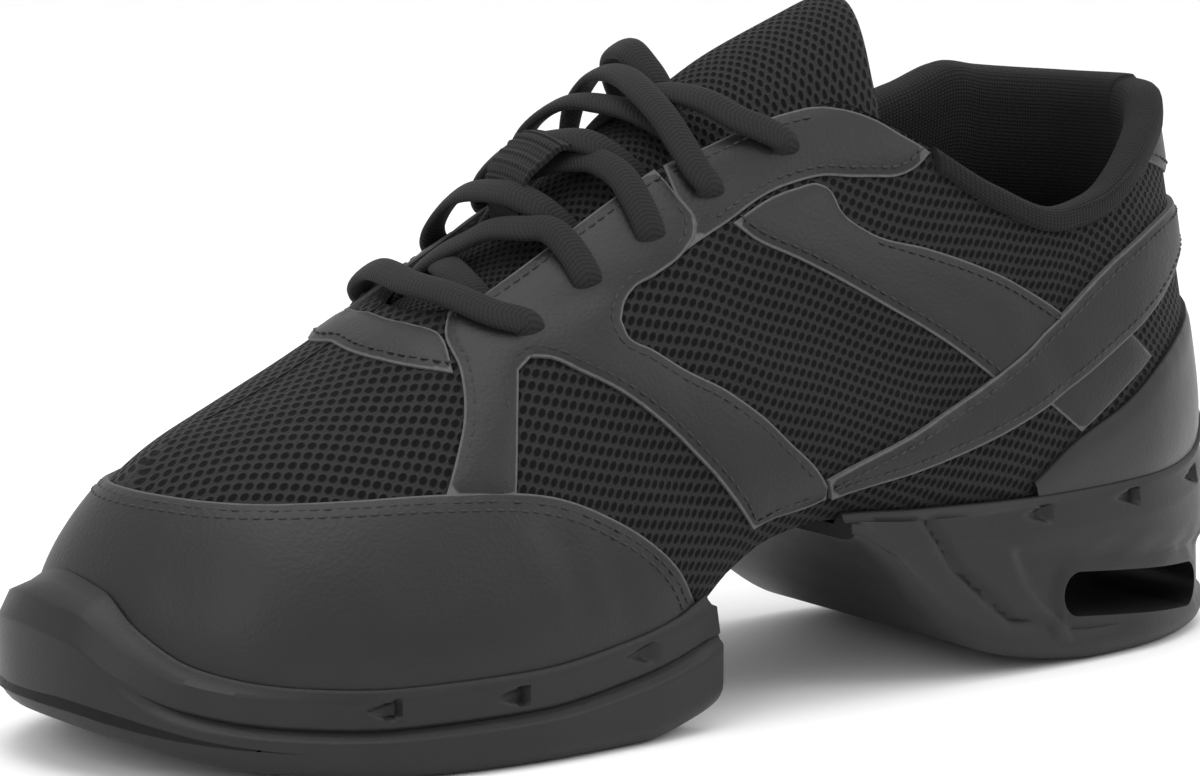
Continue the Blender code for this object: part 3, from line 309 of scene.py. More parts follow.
# Creases: two places on the chart, half width, depth, and how high the fold beside it
# stands as a share of the depth. Then how a crease fades at its ends and through the last, and where the
# fold lies and how wide it is, in half widths
CREASES = (
    ((0.640, 0.300), (0.625, 0.130), 0.0030, 0.0007, 0.6),
    ((0.610, 0.210), (0.600, 0.080), 0.0026, 0.0006, 0.6),
    ((0.700, 0.780), (0.720, 0.560), 0.0045, 0.0006, 0.5),
    ((0.735, 0.860), (0.745, 0.600), 0.0050, 0.0005, 0.5),
    ((0.580, 0.330), (0.545, 0.150), 0.0032, 0.0006, 0.5),
    ((0.520, 0.420), (0.440, 0.200), 0.0060, 0.0007, 0.5),
    ((0.470, 0.330), (0.380, 0.130), 0.0050, 0.0006, 0.4),
    ((0.330, 0.300), (0.300, 0.120), 0.0040, 0.0005, 0.5),
    ((0.600, 0.640), (0.560, 0.560), 0.0026, 0.0004, 0.5),
    ((0.520, 0.640), (0.440, 0.560), 0.0036, 0.0004, 0.5),
    ((1.350, 0.400), (1.400, 0.150), 0.0050, 0.0008, 0.5),
    ((1.460, 0.450), (1.520, 0.200), 0.0060, 0.0008, 0.5),
    ((1.290, 0.700), (1.270, 0.480), 0.0045, 0.0006, 0.5),
    ((0.830, 0.380), (0.900, 0.300), 0.0090, 0.0006, 0.3),
)
CREASE_EVEN = 0.3
CREASE_FADE = 0.22
CREASE_THROUGH = 0.02
FOLD_PLACE = 1.9
FOLD_WIDTH = 1.2


def cubic(values, slopes, cell, share, step):
    """The cubic from one value and slope to the next, at a share of the step between them."""
    rest = 1 - share
    return (
        (1 + 2 * share) * rest**2 * values[cell]
        + share * rest**2 * step * slopes[cell]
        + share**2 * (3 - 2 * share) * values[cell + 1]
        - share**2 * rest * step * slopes[cell + 1]
    )


class Curve:
    """A smooth curve through a table's points that never overshoots them."""

    def __init__(self, knots, values, flat_ends=False):
        self.knots = np.asarray(knots, float)
        self.values = np.asarray(values, float)
        steps = np.diff(self.knots)
        slopes = np.diff(self.values) / steps
        self.tangents = np.zeros(len(self.values))
        if not flat_ends:
            self.tangents[0] = slopes[0]
            self.tangents[-1] = slopes[-1]
        before, after = slopes[:-1], slopes[1:]
        near = 2 * steps[1:] + steps[:-1]
        far = steps[1:] + 2 * steps[:-1]
        same = before * after > 0
        with np.errstate(divide="ignore", invalid="ignore"):
            mean = (near + far) / (near / before + far / after)
        self.tangents[1:-1][same] = mean[same]

    def __call__(self, place):
        place = np.asarray(place, float)
        cell = np.clip(np.searchsorted(self.knots, place) - 1, 0, len(self.knots) - 2)
        step = self.knots[cell + 1] - self.knots[cell]
        share = np.clip((place - self.knots[cell]) / step, 0.0, 1.0)
        return cubic(self.values, self.tangents, cell, share, step)


def turn_at(along):
    """The turn whose feather point lies at this share of the length."""
    return np.arccos(1 - 2 * np.clip(along, 0.0, 1.0)) / math.pi


def along_at(turn):
    return (1 - np.cos(math.pi * turn)) / 2


LAST = np.array(LAST_ROWS).T
COLLAR = np.array(COLLAR_ROWS).T
LIP = np.array(LIP_ROWS).T
TREAD = np.array(TREAD_ROWS).T
LAST_TURNS = turn_at(LAST[0])
OUTER = Curve(LAST_TURNS, LAST[1])
INNER = Curve(LAST_TURNS, LAST[2])
SEAT = Curve(LAST_TURNS, LAST[3], flat_ends=True)
RIDGE = Curve(LAST[0], LAST[4])
SWAY = Curve(LAST_TURNS, LAST[5])
FULL = Curve(LAST_TURNS, LAST[6])
COLLAR_OUTER = Curve(COLLAR[0], COLLAR[1])
COLLAR_INNER = Curve(COLLAR[0], COLLAR[2])
LIP_RISE = Curve(turn_at(LIP[0]), LIP[1], flat_ends=True)
TREAD_CLEAR = Curve(TREAD[0], TREAD[1])


def unit(vectors):
    return vectors / np.maximum(np.linalg.norm(vectors, axis=-1, keepdims=True), 1e-12)


def arc_lengths(points):
    """How far along a line each of its points lies."""
    return np.concatenate(([0.0], np.cumsum(np.linalg.norm(np.diff(points, axis=0), axis=1))))


def smooth_step(low, high, value):
    share = np.clip((value - low) / (high - low), 0.0, 1.0)
    return share * share * (3 - 2 * share)


def fold_ends(turn, side):
    """The turn may run past the heel or the toe onto the other side."""
    turn, side = np.broadcast_arrays(np.asarray(turn, float), np.asarray(side, float))
    past = (turn < 0) | (turn > 1)
    return np.where(turn < 0, -turn, np.where(turn > 1, 2 - turn, turn)), np.where(past, -side, side)


def feather(turn, side):
    """The feather line, where the upper's side turns under."""
    across = np.where(side > 0, OUTER(turn), INNER(turn))
    x = HEEL_SET + UPPER_LENGTH * along_at(turn)
    return np.stack((x, side * BALL_WIDTH * across, HEEL_SEAT * SEAT(turn)), -1)


def ridge_height(x):
    return INSTEP_HEIGHT * RIDGE((x - HEEL_SET) / UPPER_LENGTH)


def ridge(turn):
    """The point over the foot that a section leans to."""
    x = UPPER_LENGTH * along_at(turn)
    toe_start = TOE_LEAN_START * UPPER_LENGTH
    heel_start = HEEL_LEAN_END * UPPER_LENGTH
    toe_share = np.maximum(x - toe_start, 0.0) / (UPPER_LENGTH - toe_start)
    heel_share = np.maximum(heel_start - x, 0.0) / heel_start
    x = x - TOE_REACH * toe_share**2 + HEEL_REACH * heel_share**2
    return np.stack((HEEL_SET + x, BALL_WIDTH * SWAY(turn), ridge_height(HEEL_SET + x)), -1)


def surface(turn, side, rise):
    """The upper's outer face."""
    low = feather(turn, side)
    high = ridge(turn)
    level = np.maximum(np.cos(rise), 0.0)
    inward = (level ** FULL(turn))[..., None]
    point = high * (1 - inward) + low * inward
    point[..., 2] = low[..., 2] + (ridge_height(point[..., 0]) - low[..., 2]) * np.sin(rise)
    share = (point[..., 2] - low[..., 2]) / BULGE_HEIGHT
    swell = np.where(share < 12, BULGE * share * np.exp(1 - np.minimum(share, 12)), 0.0)
    away = low - high
    away[..., 2] = 0.0
    return point + unit(away) * (swell * np.sqrt(level))[..., None]


def run_along(turn, side, rise):
    """A short run along the upper, toward the toe."""
    ahead = surface(*fold_ends(turn + PROBE, side), rise)
    return ahead - surface(*fold_ends(turn - PROBE, side), rise)


def one_sided_normal(turn, side, rise):
    low = np.clip(rise - PROBE, 0.0, math.pi / 2 - 2 * PROBE)
    upward = surface(turn, side, low + 2 * PROBE) - surface(turn, side, low)
    return unit(np.cross(upward, run_along(turn, side, rise)) * side[..., None])


def normal(turn, side, rise):
    """The outward normal, the mean of both sides' where they meet on the ridge."""
    found = one_sided_normal(turn, side, rise)
    both = unit(found + one_sided_normal(turn, -side, rise))
    return np.where((rise > math.pi / 2 - 0.01)[..., None], both, found)


def chart_place(across, height):
    """The turn, side and rise of places on the chart of the upper's wall."""
    across = np.asarray(across, float)
    turn, side = fold_ends(across, np.ones_like(across))
    return turn, side, np.asarray(height, float) * math.pi / 2


def over_place(turn, over):
    """Places over the ridge: over is 0 on it, 1 at the outer feather line and -1 at the inner."""
    over = np.asarray(over, float)
    return np.asarray(turn, float), np.where(over >= 0, 1.0, -1.0), (1 - np.abs(over)) * math.pi / 2


def crease_lift(points):
    """How far the soft troughs and folds move the surface at each of its points."""
    lift = np.zeros(points.shape[:-1])
    for start, end, width, depth, fold in CREASES:
        place = chart_place(*zip(start, end))
        ends, up = surface(*place), unit(normal(*place).mean(0))
        run = ends[1] - ends[0]
        away = points - ends[0]
        share = away @ run / (run @ run)
        beside = away @ unit(np.cross(run, up))
        past = np.maximum(np.abs(share - 0.5) - CREASE_EVEN, 0.0) / CREASE_FADE
        window = np.exp(-past**2) * np.exp(-(away @ up / CREASE_THROUGH) ** 2)
        trough = np.exp(-(beside / width) ** 2)
        folded = np.exp(-((beside - FOLD_PLACE * width) / (FOLD_WIDTH * width)) ** 2)
        lift += window * depth * (fold * folded - trough)
    return lift


def raised(turn, side, rise, lift):
    """Points this far out from the upper's outer face, or inside it for a negative lift."""
    return surface(turn, side, rise) + normal(turn, side, rise) * np.asarray(lift)[..., None]


def skin(turn, side, rise, lift):
    """The same, from the creased outer face."""
    return raised(turn, side, rise, lift + crease_lift(surface(turn, side, rise)))


def throat_gap(x):
    """Half the width of the lace opening."""
    ahead = THROAT_FRONT - x
    full = THROAT_HALF_GAP + THROAT_SPREAD * ahead / (THROAT_FRONT - THROAT_BACK)
    inside = np.clip(1 - ahead / THROAT_ROUND, 0.0, 1.0)
    full = full * np.sqrt(np.maximum(1 - inside**2, 0.0))
    return np.where((ahead <= 0) | (x < THROAT_BACK), 0.0, full)


def halved(beyond, shape):
    """The largest rise that isn't beyond an edge, found by halving."""
    low = np.zeros(shape)
    high = np.full(shape, math.pi / 2)
    for _ in range(24):
        middle = (low + high) / 2
        over = beyond(middle)
        high = np.where(over, middle, high)
        low = np.where(over, low, middle)
    return low


def top_rise(turn, side):
    """The rise where the upper ends, at the collar, at the throat or on the ridge. Equal places are
    worked out once, the outer side's told apart by keys past any turn."""
    keys, index = np.unique(np.round(turn, 9) + 4.0 * (side > 0), return_inverse=True)
    outer = keys > 2.0
    side = np.where(outer, 1.0, -1.0)
    turn = np.where(outer, keys - 4.0, keys)

    def beyond(rise):
        point = surface(turn, side, rise)
        along = (point[..., 0] - HEEL_SET) / UPPER_LENGTH
        collar = COLLAR_HEIGHT * np.where(side > 0, COLLAR_OUTER(along), COLLAR_INNER(along))
        centre = ridge(turn)[..., 1] + THROAT_SHIFT
        return (point[..., 2] > collar) | (np.abs(point[..., 1] - centre) < throat_gap(point[..., 0]))

    closed = ~beyond(np.full(turn.shape, math.pi / 2 - 1e-4))
    found = np.where(closed, math.pi / 2, halved(beyond, turn.shape))
    return found[index.reshape(-1)]


def rise_at_height(turn, side, height):
    turn, side = np.broadcast_arrays(np.asarray(turn, float), np.asarray(side, float))
    return halved(lambda rise: surface(turn, side, rise)[..., 2] > height, turn.shape)


def lip_height(turn):
    return HEEL_SEAT * LIP_RISE(turn)


def tread_height(x):
    return HEEL_SEAT * TREAD_CLEAR((x - HEEL_SET) / UPPER_LENGTH)


def turn_of(x):
    return turn_at((x - HEEL_SET) / UPPER_LENGTH)


# Round the heel the cloth is laid flat by the length of the feather line, and elsewhere by x
HEEL_BEND = 0.30
MOST_STRETCH = 1.25
HEEL_SAMPLES = np.linspace(0.0, HEEL_BEND, 80)
HEEL_LINE = feather(HEEL_SAMPLES, np.ones(80))[:, :2]
HEEL_ARC = arc_lengths(HEEL_LINE)


def cloth_place(points, turn, side):
    """Where points of the upper lie on its cloth laid flat, in millimetres."""
    round_heel = HEEL_LINE[-1, 0] - HEEL_ARC[-1] + np.interp(turn, HEEL_SAMPLES, HEEL_ARC)
    along = np.where(turn < HEEL_BEND, round_heel, points[..., 0])
    aside = np.abs(points[..., 1] - ridge(turn)[..., 1])
    down = np.maximum(ridge_height(points[..., 0]) - points[..., 2], 0.0)
    bend = np.maximum(np.arctan2(down, np.maximum(aside, 1e-6)), 1e-3)
    stretch = np.minimum(bend / np.sin(bend), MOST_STRETCH)
    return np.stack((along, side * np.hypot(aside, down) * stretch), -1) / MM


class Wire:
    """One socket of a material. Arithmetic on it adds the Math nodes."""

    def __init__(self, finish, socket):
        self.finish = finish
        self.socket = socket

    def math(self, operation, *others):
        return self.finish.math(operation, self, *others)

    def __add__(self, other):
        return self.math("ADD", other)

    __radd__ = __add__

    def __mul__(self, other):
        return self.math("MULTIPLY", other)

    __rmul__ = __mul__

    def __sub__(self, other):
        return self.math("SUBTRACT", other)

    def __rsub__(self, other):
        return self.finish.math("SUBTRACT", other, self)

    def __truediv__(self, other):
        return self.math("DIVIDE", other)

    def __abs__(self):
        return self.math("ABSOLUTE")

    def near(self, full, none):
        """1 up to full, then fading to 0 at none."""
        inputs = {"Value": self, "From Min": full, "From Max": none, "To Min": 1.0, "To Max": 0.0}
        return self.finish.add("ShaderNodeMapRange", {"interpolation_type": "SMOOTHSTEP"}, inputs)

    def line_gap(self, pitch, shift=0.0):
        """The distance from the middle of the nearest of evenly spaced bands."""
        return abs((self / pitch + shift).math("FRACT") - 0.5) * pitch


class Finish:
    """A material and the way to its nodes."""

    def __init__(self, name, colour, roughness, **constants):
        self.material = bpy.data.materials.new(name)
        self.material.use_nodes = True
        self.tree = self.material.node_tree
        self.shader = self.tree.nodes["Principled BSDF"]
        self.material.diffuse_color = (*colour, 1.0)
        self.shader.inputs["Base Color"].default_value = (*colour, 1.0)
        self.shader.inputs["Roughness"].default_value = roughness
        for socket, value in constants.items():
            self.shader.inputs[socket.replace("_", " ")].default_value = value

    def add(self, kind, settings=None, inputs=None, output=0):
        made = self.tree.nodes.new(kind)
        for name, value in (settings or {}).items():
            setattr(made, name, value)
        for key, value in (inputs or {}).items():
            if isinstance(value, Wire):
                self.tree.links.new(value.socket, made.inputs[key])
            else:
                made.inputs[key].default_value = value
        return Wire(self, made.outputs[output])

    def math(self, operation, *values):
        return self.add("ShaderNodeMath", {"operation": operation}, dict(enumerate(values)))

    def other(self, wire, output):
        return Wire(self, wire.socket.node.outputs[output])

    def cloth(self):
        """The piece's own flat layout, in millimetres."""
        place = self.add("ShaderNodeUVMap", {"uv_map": "cloth"})
        first = self.add("ShaderNodeSeparateXYZ", None, {0: place})
        return first, self.other(first, 1)

    def place(self):
        return self.add("ShaderNodeTexCoord", None, None, "Object")

    def noise(self, scale, detail=2.0, rough=0.5):
        inputs = {"Vector": self.place(), "Scale": scale, "Detail": detail, "Roughness": rough}
        return self.add("ShaderNodeTexNoise", None, inputs, "Fac")

    def pebbles(self, scale):
        inputs = {"Vector": self.place(), "Scale": scale, "Smoothness": 0.6}
        return self.add("ShaderNodeTexVoronoi", {"feature": "SMOOTH_F1"}, inputs)

    def mixed(self, share, first, second):
        inputs = {"Factor": share, 6: first, 7: second}
        return self.add("ShaderNodeMix", {"data_type": "RGBA"}, inputs, 2)

    def use(self, socket, wire):
        self.tree.links.new(wire.socket, self.shader.inputs[socket])

    def bumps(self, *layers):
        """Stack bumps, each a height from 0 to 1 and its depth in metres."""
        below = None
        for height, depth in layers:
            inputs = {"Height": height, "Distance": depth, "Strength": 1.0}
            if below is not None:
                inputs["Normal"] = below
            below = self.add("ShaderNodeBump", None, inputs)
        self.use("Normal", below)


BLACK = (0.005, 0.005, 0.0055, 1.0)
RAW_GREY = (0.090, 0.087, 0.089, 1.0)


def leather_finish(name, colour, roughness, grain, raw=RAW_GREY):
    """Grained leather, darker and lighter in broad patches, with the raw stuff showing at a cut edge."""
    finish = Finish(name, colour, roughness, IOR=1.45, Specular_IOR_Level=0.34)
    edge = finish.add("ShaderNodeAttribute", {"attribute_name": "edge"}, None, "Fac")
    fine = finish.noise(1500.0, 3.0)
    broad = finish.noise(70.0, 3.0)
    dark = (*(value * 0.75 for value in colour), 1.0)
    light = (*(value * 1.35 for value in colour), 1.0)
    face = finish.mixed(broad, dark, light)
    worn = edge.near(0.22, 0.60) * (0.45 + finish.noise(700.0, 2.0) * 0.75)
    finish.use("Base Color", finish.mixed(worn, face, raw))
    finish.use("Roughness", roughness - 0.10 + broad * 0.12 + fine * 0.08 + worn * 0.3)
    finish.bumps((finish.pebbles(1250.0), 0.00006 * grain), (fine, 0.00005 * grain), (broad, 0.00025))
    return finish.material


def mesh_finish(name, pitch_along, pitch_down, hole):
    """Air mesh: holes in staggered rows, yarns round them and a knit behind, the holes coloured near
    black: the knit's own black deepened by painted shade in the holes.
    """
    colour = (0.011, 0.0108, 0.011)
    finish = Finish(name, colour, 0.72, Specular_IOR_Level=0.18, Sheen_Weight=0.015, Sheen_Roughness=0.5)
    along, down = finish.cloth()
    gaps = []
    for shift in (0.0, 0.5):
        aside = along.line_gap(pitch_along, shift)
        above = down.line_gap(pitch_down, shift)
        gaps.append((aside * aside + above * above).math("SQRT"))
    nearest = gaps[0].math("MINIMUM", gaps[1])
    # Mask of the holes, which also carries their painted shade
    open_shaded_share = nearest.near(hole * 0.62, hole * 1.12)
    fuzz = finish.noise(2600.0, 2.0)
    yarn = finish.mixed(fuzz, (0.005, 0.0048, 0.005, 1.0), (0.019, 0.0184, 0.019, 1.0))
    # The holes' near-black colour is the knit behind plus painted shade in the holes
    finish.use("Base Color", finish.mixed(open_shaded_share, yarn, (0.0015, 0.0015, 0.0015, 1.0)))
    finish.use("Roughness", 0.62 + open_shaded_share * 0.35 + fuzz * 0.1)
    rim = nearest.near(hole * 1.0, hole * 1.9)
    finish.bumps((1.0 - open_shaded_share, 0.00045), (rim, 0.00012), (fuzz, 0.00010))
    return finish.material


def knit_finish(name, rib):
    """The collar's brushed knit, in fine ribs."""
    colour = (0.008, 0.0078, 0.008)
    finish = Finish(name, colour, 0.9, Specular_IOR_Level=0.15, Sheen_Weight=0.03, Sheen_Roughness=0.6)
    along, down = finish.cloth()
    ribs = along.line_gap(rib).near(0.0, rib * 0.5)
    loops = down.line_gap(rib * 0.9).near(0.0, rib * 0.45)
    fuzz = finish.noise(3000.0, 2.0)
    finish.use("Base Color", finish.mixed(ribs * loops + fuzz * 0.4, BLACK, (0.016, 0.0155, 0.016, 1.0)))
    finish.bumps((ribs * loops, 0.00022), (fuzz, 0.00012))
    return finish.material


def webbing_finish(name, rib, slant, lift):
    """Woven lace or ribbed webbing, laid out along its length."""
    colour = (0.008, 0.0078, 0.008)
    finish = Finish(name, colour, 0.78, Specular_IOR_Level=0.2, Sheen_Weight=0.03, Sheen_Roughness=0.5)
    across, along = finish.cloth()
    slanted = along + abs(across) * slant
    ribs = slanted.line_gap(rib).near(0.0, rib * 0.5)
    strands = across.line_gap(0.8).near(0.0, 0.4)
    fuzz = finish.noise(2800.0, 2.0)
    colour_share = ribs * 0.6 + strands * 0.2 + fuzz * 0.3
    finish.use("Base Color", finish.mixed(colour_share, BLACK, (0.015, 0.0144, 0.015, 1.0)))
    finish.use("Roughness", 0.68 + fuzz * 0.2)
    finish.bumps((ribs, lift), (strands, lift * 0.3), (fuzz, 0.00006))
    return finish.material


def rubber_finish(name):
    """Moulded rubber, satin, with the mould's fine texture and a few scuffs."""
    colour = (0.010, 0.010, 0.0105)
    finish = Finish(name, colour, 0.42, IOR=1.48, Specular_IOR_Level=0.30)
    fine = finish.noise(1900.0, 3.0)
    broad = finish.noise(60.0, 4.0, 0.6)
    worn = (0.015, 0.0148, 0.015, 1.0)
    finish.use("Base Color", finish.mixed(broad, (0.007, 0.007, 0.0075, 1.0), worn))
    finish.use("Roughness", 0.30 + broad * 0.14 + fine * 0.16)
    finish.bumps((fine, 0.00006), (broad, 0.00012))
    return finish.material


def thread_finish(name):
    """Twisted thread."""
    finish = Finish(name, (0.008, 0.0078, 0.008), 0.6)
    twist = finish.noise(3500.0, 1.0)
    lit = (0.018, 0.0175, 0.018, 1.0)
    finish.use("Base Color", finish.mixed(twist, (0.002, 0.002, 0.002, 1.0), lit))
    finish.bumps((twist, 0.00008))
    return finish.material


LEATHER = leather_finish("black_leather", (0.0105, 0.0100, 0.0103), 0.46, 1.0)
MOULDED = leather_finish("moulded_counter", (0.013, 0.0126, 0.013), 0.34, 0.35, BLACK)
MESH = mesh_finish("air_mesh", 3.4, 3.1, 0.94)
TONGUE_MESH = mesh_finish("tongue_mesh", 2.3, 2.3, 0.62)
KNIT = knit_finish("collar_knit", 0.95)
LINING = knit_finish("inner_lining", 1.3)
LACE = webbing_finish("woven_lace", 0.9, 0.55, 0.00008)
RIBBED = webbing_finish("ribbed_webbing", 1.5, 0.0, 0.00045)
RUBBER = rubber_finish("sole_rubber")
THREAD = thread_finish("stitching_thread")


def place_grid(builder, columns, rows, place, cloth):
    """A flat grid whose points are moved to their places; cloth gives each its flat layout."""
    verts = bmesh.ops.create_grid(builder, x_segments=columns, y_segments=rows, size=0.5)["verts"]
    flat = np.array([vert.co[:2] for vert in verts]) + 0.5
    layer = builder.loops.layers.uv.get("cloth") or builder.loops.layers.uv.new("cloth")
    for vert, point, laid in zip(verts, place(*flat.T), cloth(*flat.T)):
        move_vert(vert, point, layer, laid)


def move_vert(vert, point, layer, laid):
    vert.co = point
    for loop in vert.link_loops:
        loop[layer].uv = laid


def sheet(width, length, middle=0.0):
    """The flat layout of a plain sheet of this size, in millimetres."""
    return lambda u, v: np.stack(((u - middle) * width, v * length), -1)


def to_mesh(builder, name):
    """Write a bmesh out and free it."""
    mesh = bpy.data.meshes.new(name)
    builder.to_mesh(mesh)
    builder.free()
    return mesh


def add_object(name, data):
    made = bpy.data.objects.new(name, data)
    bpy.context.scene.collection.objects.link(made)
    return made


def finish_piece(name, builder, material, node=None, sharp=40.0, merge=2e-5):
    """Close a bmesh up, turn its faces outward and link it as a piece that rides with the shoe."""
    bmesh.ops.remove_doubles(builder, verts=builder.verts, dist=merge)
    bmesh.ops.recalc_face_normals(builder, faces=builder.faces)
    mesh = to_mesh(builder, name)
    mesh.transform(Matrix.Translation(Vector(LAST_ORIGIN)))
    mesh.shade_smooth()
    mesh.set_sharp_from_angle(angle=math.radians(sharp))
    mesh.materials.append(material)
    piece = add_object(name, mesh)
    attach(piece, "root")
    if node:
        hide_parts(node)
    return piece


def ring_turns(share):
    """Turn and side for a share of the way round: outer side heel to toe, then back on the inner."""
    across = np.asarray(share) * 2
    return fold_ends(across, np.ones_like(across))


ARCH_START = turn_of(HEEL_SOLE_END)
ARCH_END = turn_of(FOREFOOT_SOLE_START)
ARCH_FADE = 0.006


def underside(turn, side, share, lift):
    """Points under the foot, from the feather line, 0, to the middle, 1."""
    low = feather(turn, side)
    middle = ridge(turn)
    share = np.broadcast_to(share, turn.shape)[..., None]
    point = low * (1 - share) + middle * share
    point[..., 2] = low[..., 2] + lift
    return point


def outward(turn, side):
    """The level direction out from the feather line."""
    away = normal(turn, side, np.full(turn.shape, 0.02))
    away[..., 2] = 0.0
    return unit(away)


def margin_share(turn, side):
    """How far in the upper reaches underneath: a margin on the soles, and right across at the arch."""
    low = feather(turn, side)
    middle = ridge(turn)
    span = np.hypot(middle[..., 0] - low[..., 0], middle[..., 1] - low[..., 1])
    reach = np.minimum(LASTING_MARGIN / np.maximum(span, 1e-6), 1.0)
    arch = smooth_step(ARCH_START - 3 * ARCH_FADE, ARCH_START - ARCH_FADE, turn)
    arch = arch * (1 - smooth_step(ARCH_END + ARCH_FADE, ARCH_END + 3 * ARCH_FADE, turn))
    return reach + (1 - reach) * arch


UNDER_SHARE = 0.12
UPPER_COLUMNS = 420
UPPER_ROWS = 64
LINING_COLUMNS = 240
LINING_ROWS = 40
SETTLE = 0.05


def climbed(v):
    """How far up the wall a place on the upper's sheet is, from 0 to 1."""
    return np.clip((v - UNDER_SHARE) / (1 - UNDER_SHARE), 0.0, 1.0)


def upper_wall(lift, bottom_lift, creased):
    """The upper's wall at one of its two faces: first the margin underneath, then up the side. The
    creased face settles onto the level margin at its foot."""
    def place(u, v):
        turn, side = ring_turns(u)
        share = np.clip(1 - v / UNDER_SHARE, 0.0, 1.0) * margin_share(turn, side)
        below = underside(turn, side, share, bottom_lift) + outward(turn, side) * lift
        rise = top_rise(turn, side) * climbed(v)
        if creased:
            wall = skin(turn, side, rise, lift)
            start = skin(turn, side, np.zeros_like(rise), lift)
            level = underside(turn, side, 0.0, bottom_lift) + outward(turn, side) * lift
            wall += (level - start) * np.clip(1 - climbed(v) / SETTLE, 0.0, 1.0)[..., None]
        else:
            wall = raised(turn, side, rise, lift)
        return np.where((v < UNDER_SHARE)[..., None], below, wall)
    return place


def upper_layout(u, v):
    turn, side = ring_turns(u)
    return cloth_place(surface(turn, side, top_rise(turn, side) * climbed(v)), turn, side)


def border_edges(builder):
    return [edge for edge in builder.edges if edge.is_boundary]


def make_upper():
    """The lasted shell: mesh cloth outside and lining inside."""
    builder = bmesh.new()
    place_grid(builder, UPPER_COLUMNS, UPPER_ROWS, upper_wall(0.0, 0.0, True), upper_layout)
    bmesh.ops.remove_doubles(builder, verts=builder.verts, dist=2e-5)
    finish_piece("mesh_upper", builder, MESH, "upper")
    builder = bmesh.new()
    place_grid(builder, LINING_COLUMNS, LINING_ROWS, upper_wall(-WALL, WALL, False), upper_layout)
    finish_piece("upper_lining", builder, LINING).data.flip_normals()


RIM_ROWS = 6
RIM_ROUND = 0.0005
RIM_PROUD = 0.0002


def make_rim():
    """The wall's cut edge round the throat and collar, joining cloth to lining."""
    builder = bmesh.new()

    def place(u, v):
        turn, side = ring_turns(u)
        rise = top_rise(turn, side)
        round_out = np.sin(v * math.pi) * RIM_ROUND
        outer = skin(turn, side, rise, RIM_PROUD)
        inner = raised(turn, side, rise, -WALL)
        up = unit(np.cross(normal(turn, side, rise), unit(run_along(turn, side, rise))))
        up = up * np.sign(up[..., 2:3] + 1e-9)
        return outer * (1 - v)[..., None] + inner * v[..., None] + up * round_out[..., None]

    place_grid(builder, UPPER_COLUMNS, RIM_ROWS, place, sheet(560, WALL / MM))
    finish_piece("upper_rim", builder, LINING)


def even_line(points, step):
    """An open run of flat points as a smooth line with even steps."""
    points = np.asarray(points, float)
    gaps = np.linalg.norm(np.diff(points, axis=0), axis=1)
    knots = np.concatenate(([0.0], np.cumsum(gaps)))
    slopes = np.diff(points, axis=0) / gaps[:, None]
    tangents = np.empty_like(points)
    tangents[0], tangents[-1] = slopes[0], slopes[-1]
    if len(points) > 2:
        weight = (gaps[:-1] / (gaps[:-1] + gaps[1:]))[:, None]
        tangents[1:-1] = slopes[:-1] * (1 - weight) + slopes[1:] * weight
    count = max(int(round(knots[-1] / step)), 1)
    places = np.linspace(0.0, knots[-1], count + 1)
    cell = np.clip(np.searchsorted(knots, places, side="right") - 1, 0, len(knots) - 2)
    length = gaps[cell][:, None]
    return cubic(points, tangents, cell, (places - knots[cell])[:, None] / length, length)


def even_outline(points, step):
    """A closed outline as a smooth line with even steps that keeps its corners."""
    points = np.asarray(points, float)
    keep = np.linalg.norm(points - np.roll(points, 1, axis=0), axis=1) > 1e-5
    points = points[keep]
    before = unit(points - np.roll(points, 1, axis=0))
    after = unit(np.roll(points, -1, axis=0) - points)
    bend = np.arccos(np.clip((before * after).sum(1), -1, 1))
    corners = [index for index in range(len(points)) if bend[index] > CORNER] or [0]
    found = []
    for index, corner in enumerate(corners):
        last = corners[(index + 1) % len(corners)]
        if last <= corner:
            last += len(points)
        run = points[np.arange(corner, last + 1) % len(points)]
        found.append(even_line(run, step)[:-1])
    return np.concatenate(found)


def line_distance(points, line):
    """The distance from each point to an open line through others."""
    start, run = line[:-1], np.diff(line, axis=0)
    length = np.maximum((run * run).sum(1), 1e-14)
    best = np.full(len(points), 1.0)
    for first in range(0, len(points), 4000):
        part = points[first:first + 4000, None, :] - start[None]
        share = np.clip((part * run[None]).sum(-1) / length, 0.0, 1.0)
        gap = np.linalg.norm(part - share[..., None] * run[None], axis=-1)
        best[first:first + 4000] = gap.min(1)
    return best


def leather_lift(gap, lift):
    """How far a panel stands off the cloth at this distance from its cut edge."""
    rise = LEATHER_EDGE + (LEATHER_FULL - LEATHER_EDGE) * smooth_step(0.0, SKIVE, gap)
    dent = STITCH_DENT * np.exp(-((gap - STITCH_INSET) / STITCH_DENT_WIDTH) ** 2)
    return rise - dent + lift


def knit_lift(gap, lift):
    return LEATHER_EDGE + BINDING_PAD * smooth_step(0.0, BINDING_RUN, gap) + lift


def chart_slopes(points, place_at, probe):
    """How the surface runs along each of the chart's two axes, at points of the chart."""
    slopes = []
    for shift in np.eye(2) * probe:
        ahead = surface(*place_at(*(points + shift).T))
        behind = surface(*place_at(*(points - shift).T))
        slopes.append((ahead - behind) / (2 * probe))
    return np.array(slopes)


def chart_size(points, place_at, probe):
    """Metres on the surface to one on the chart, along each of its axes."""
    return np.linalg.norm(chart_slopes(points, place_at, probe), axis=2).mean(1)


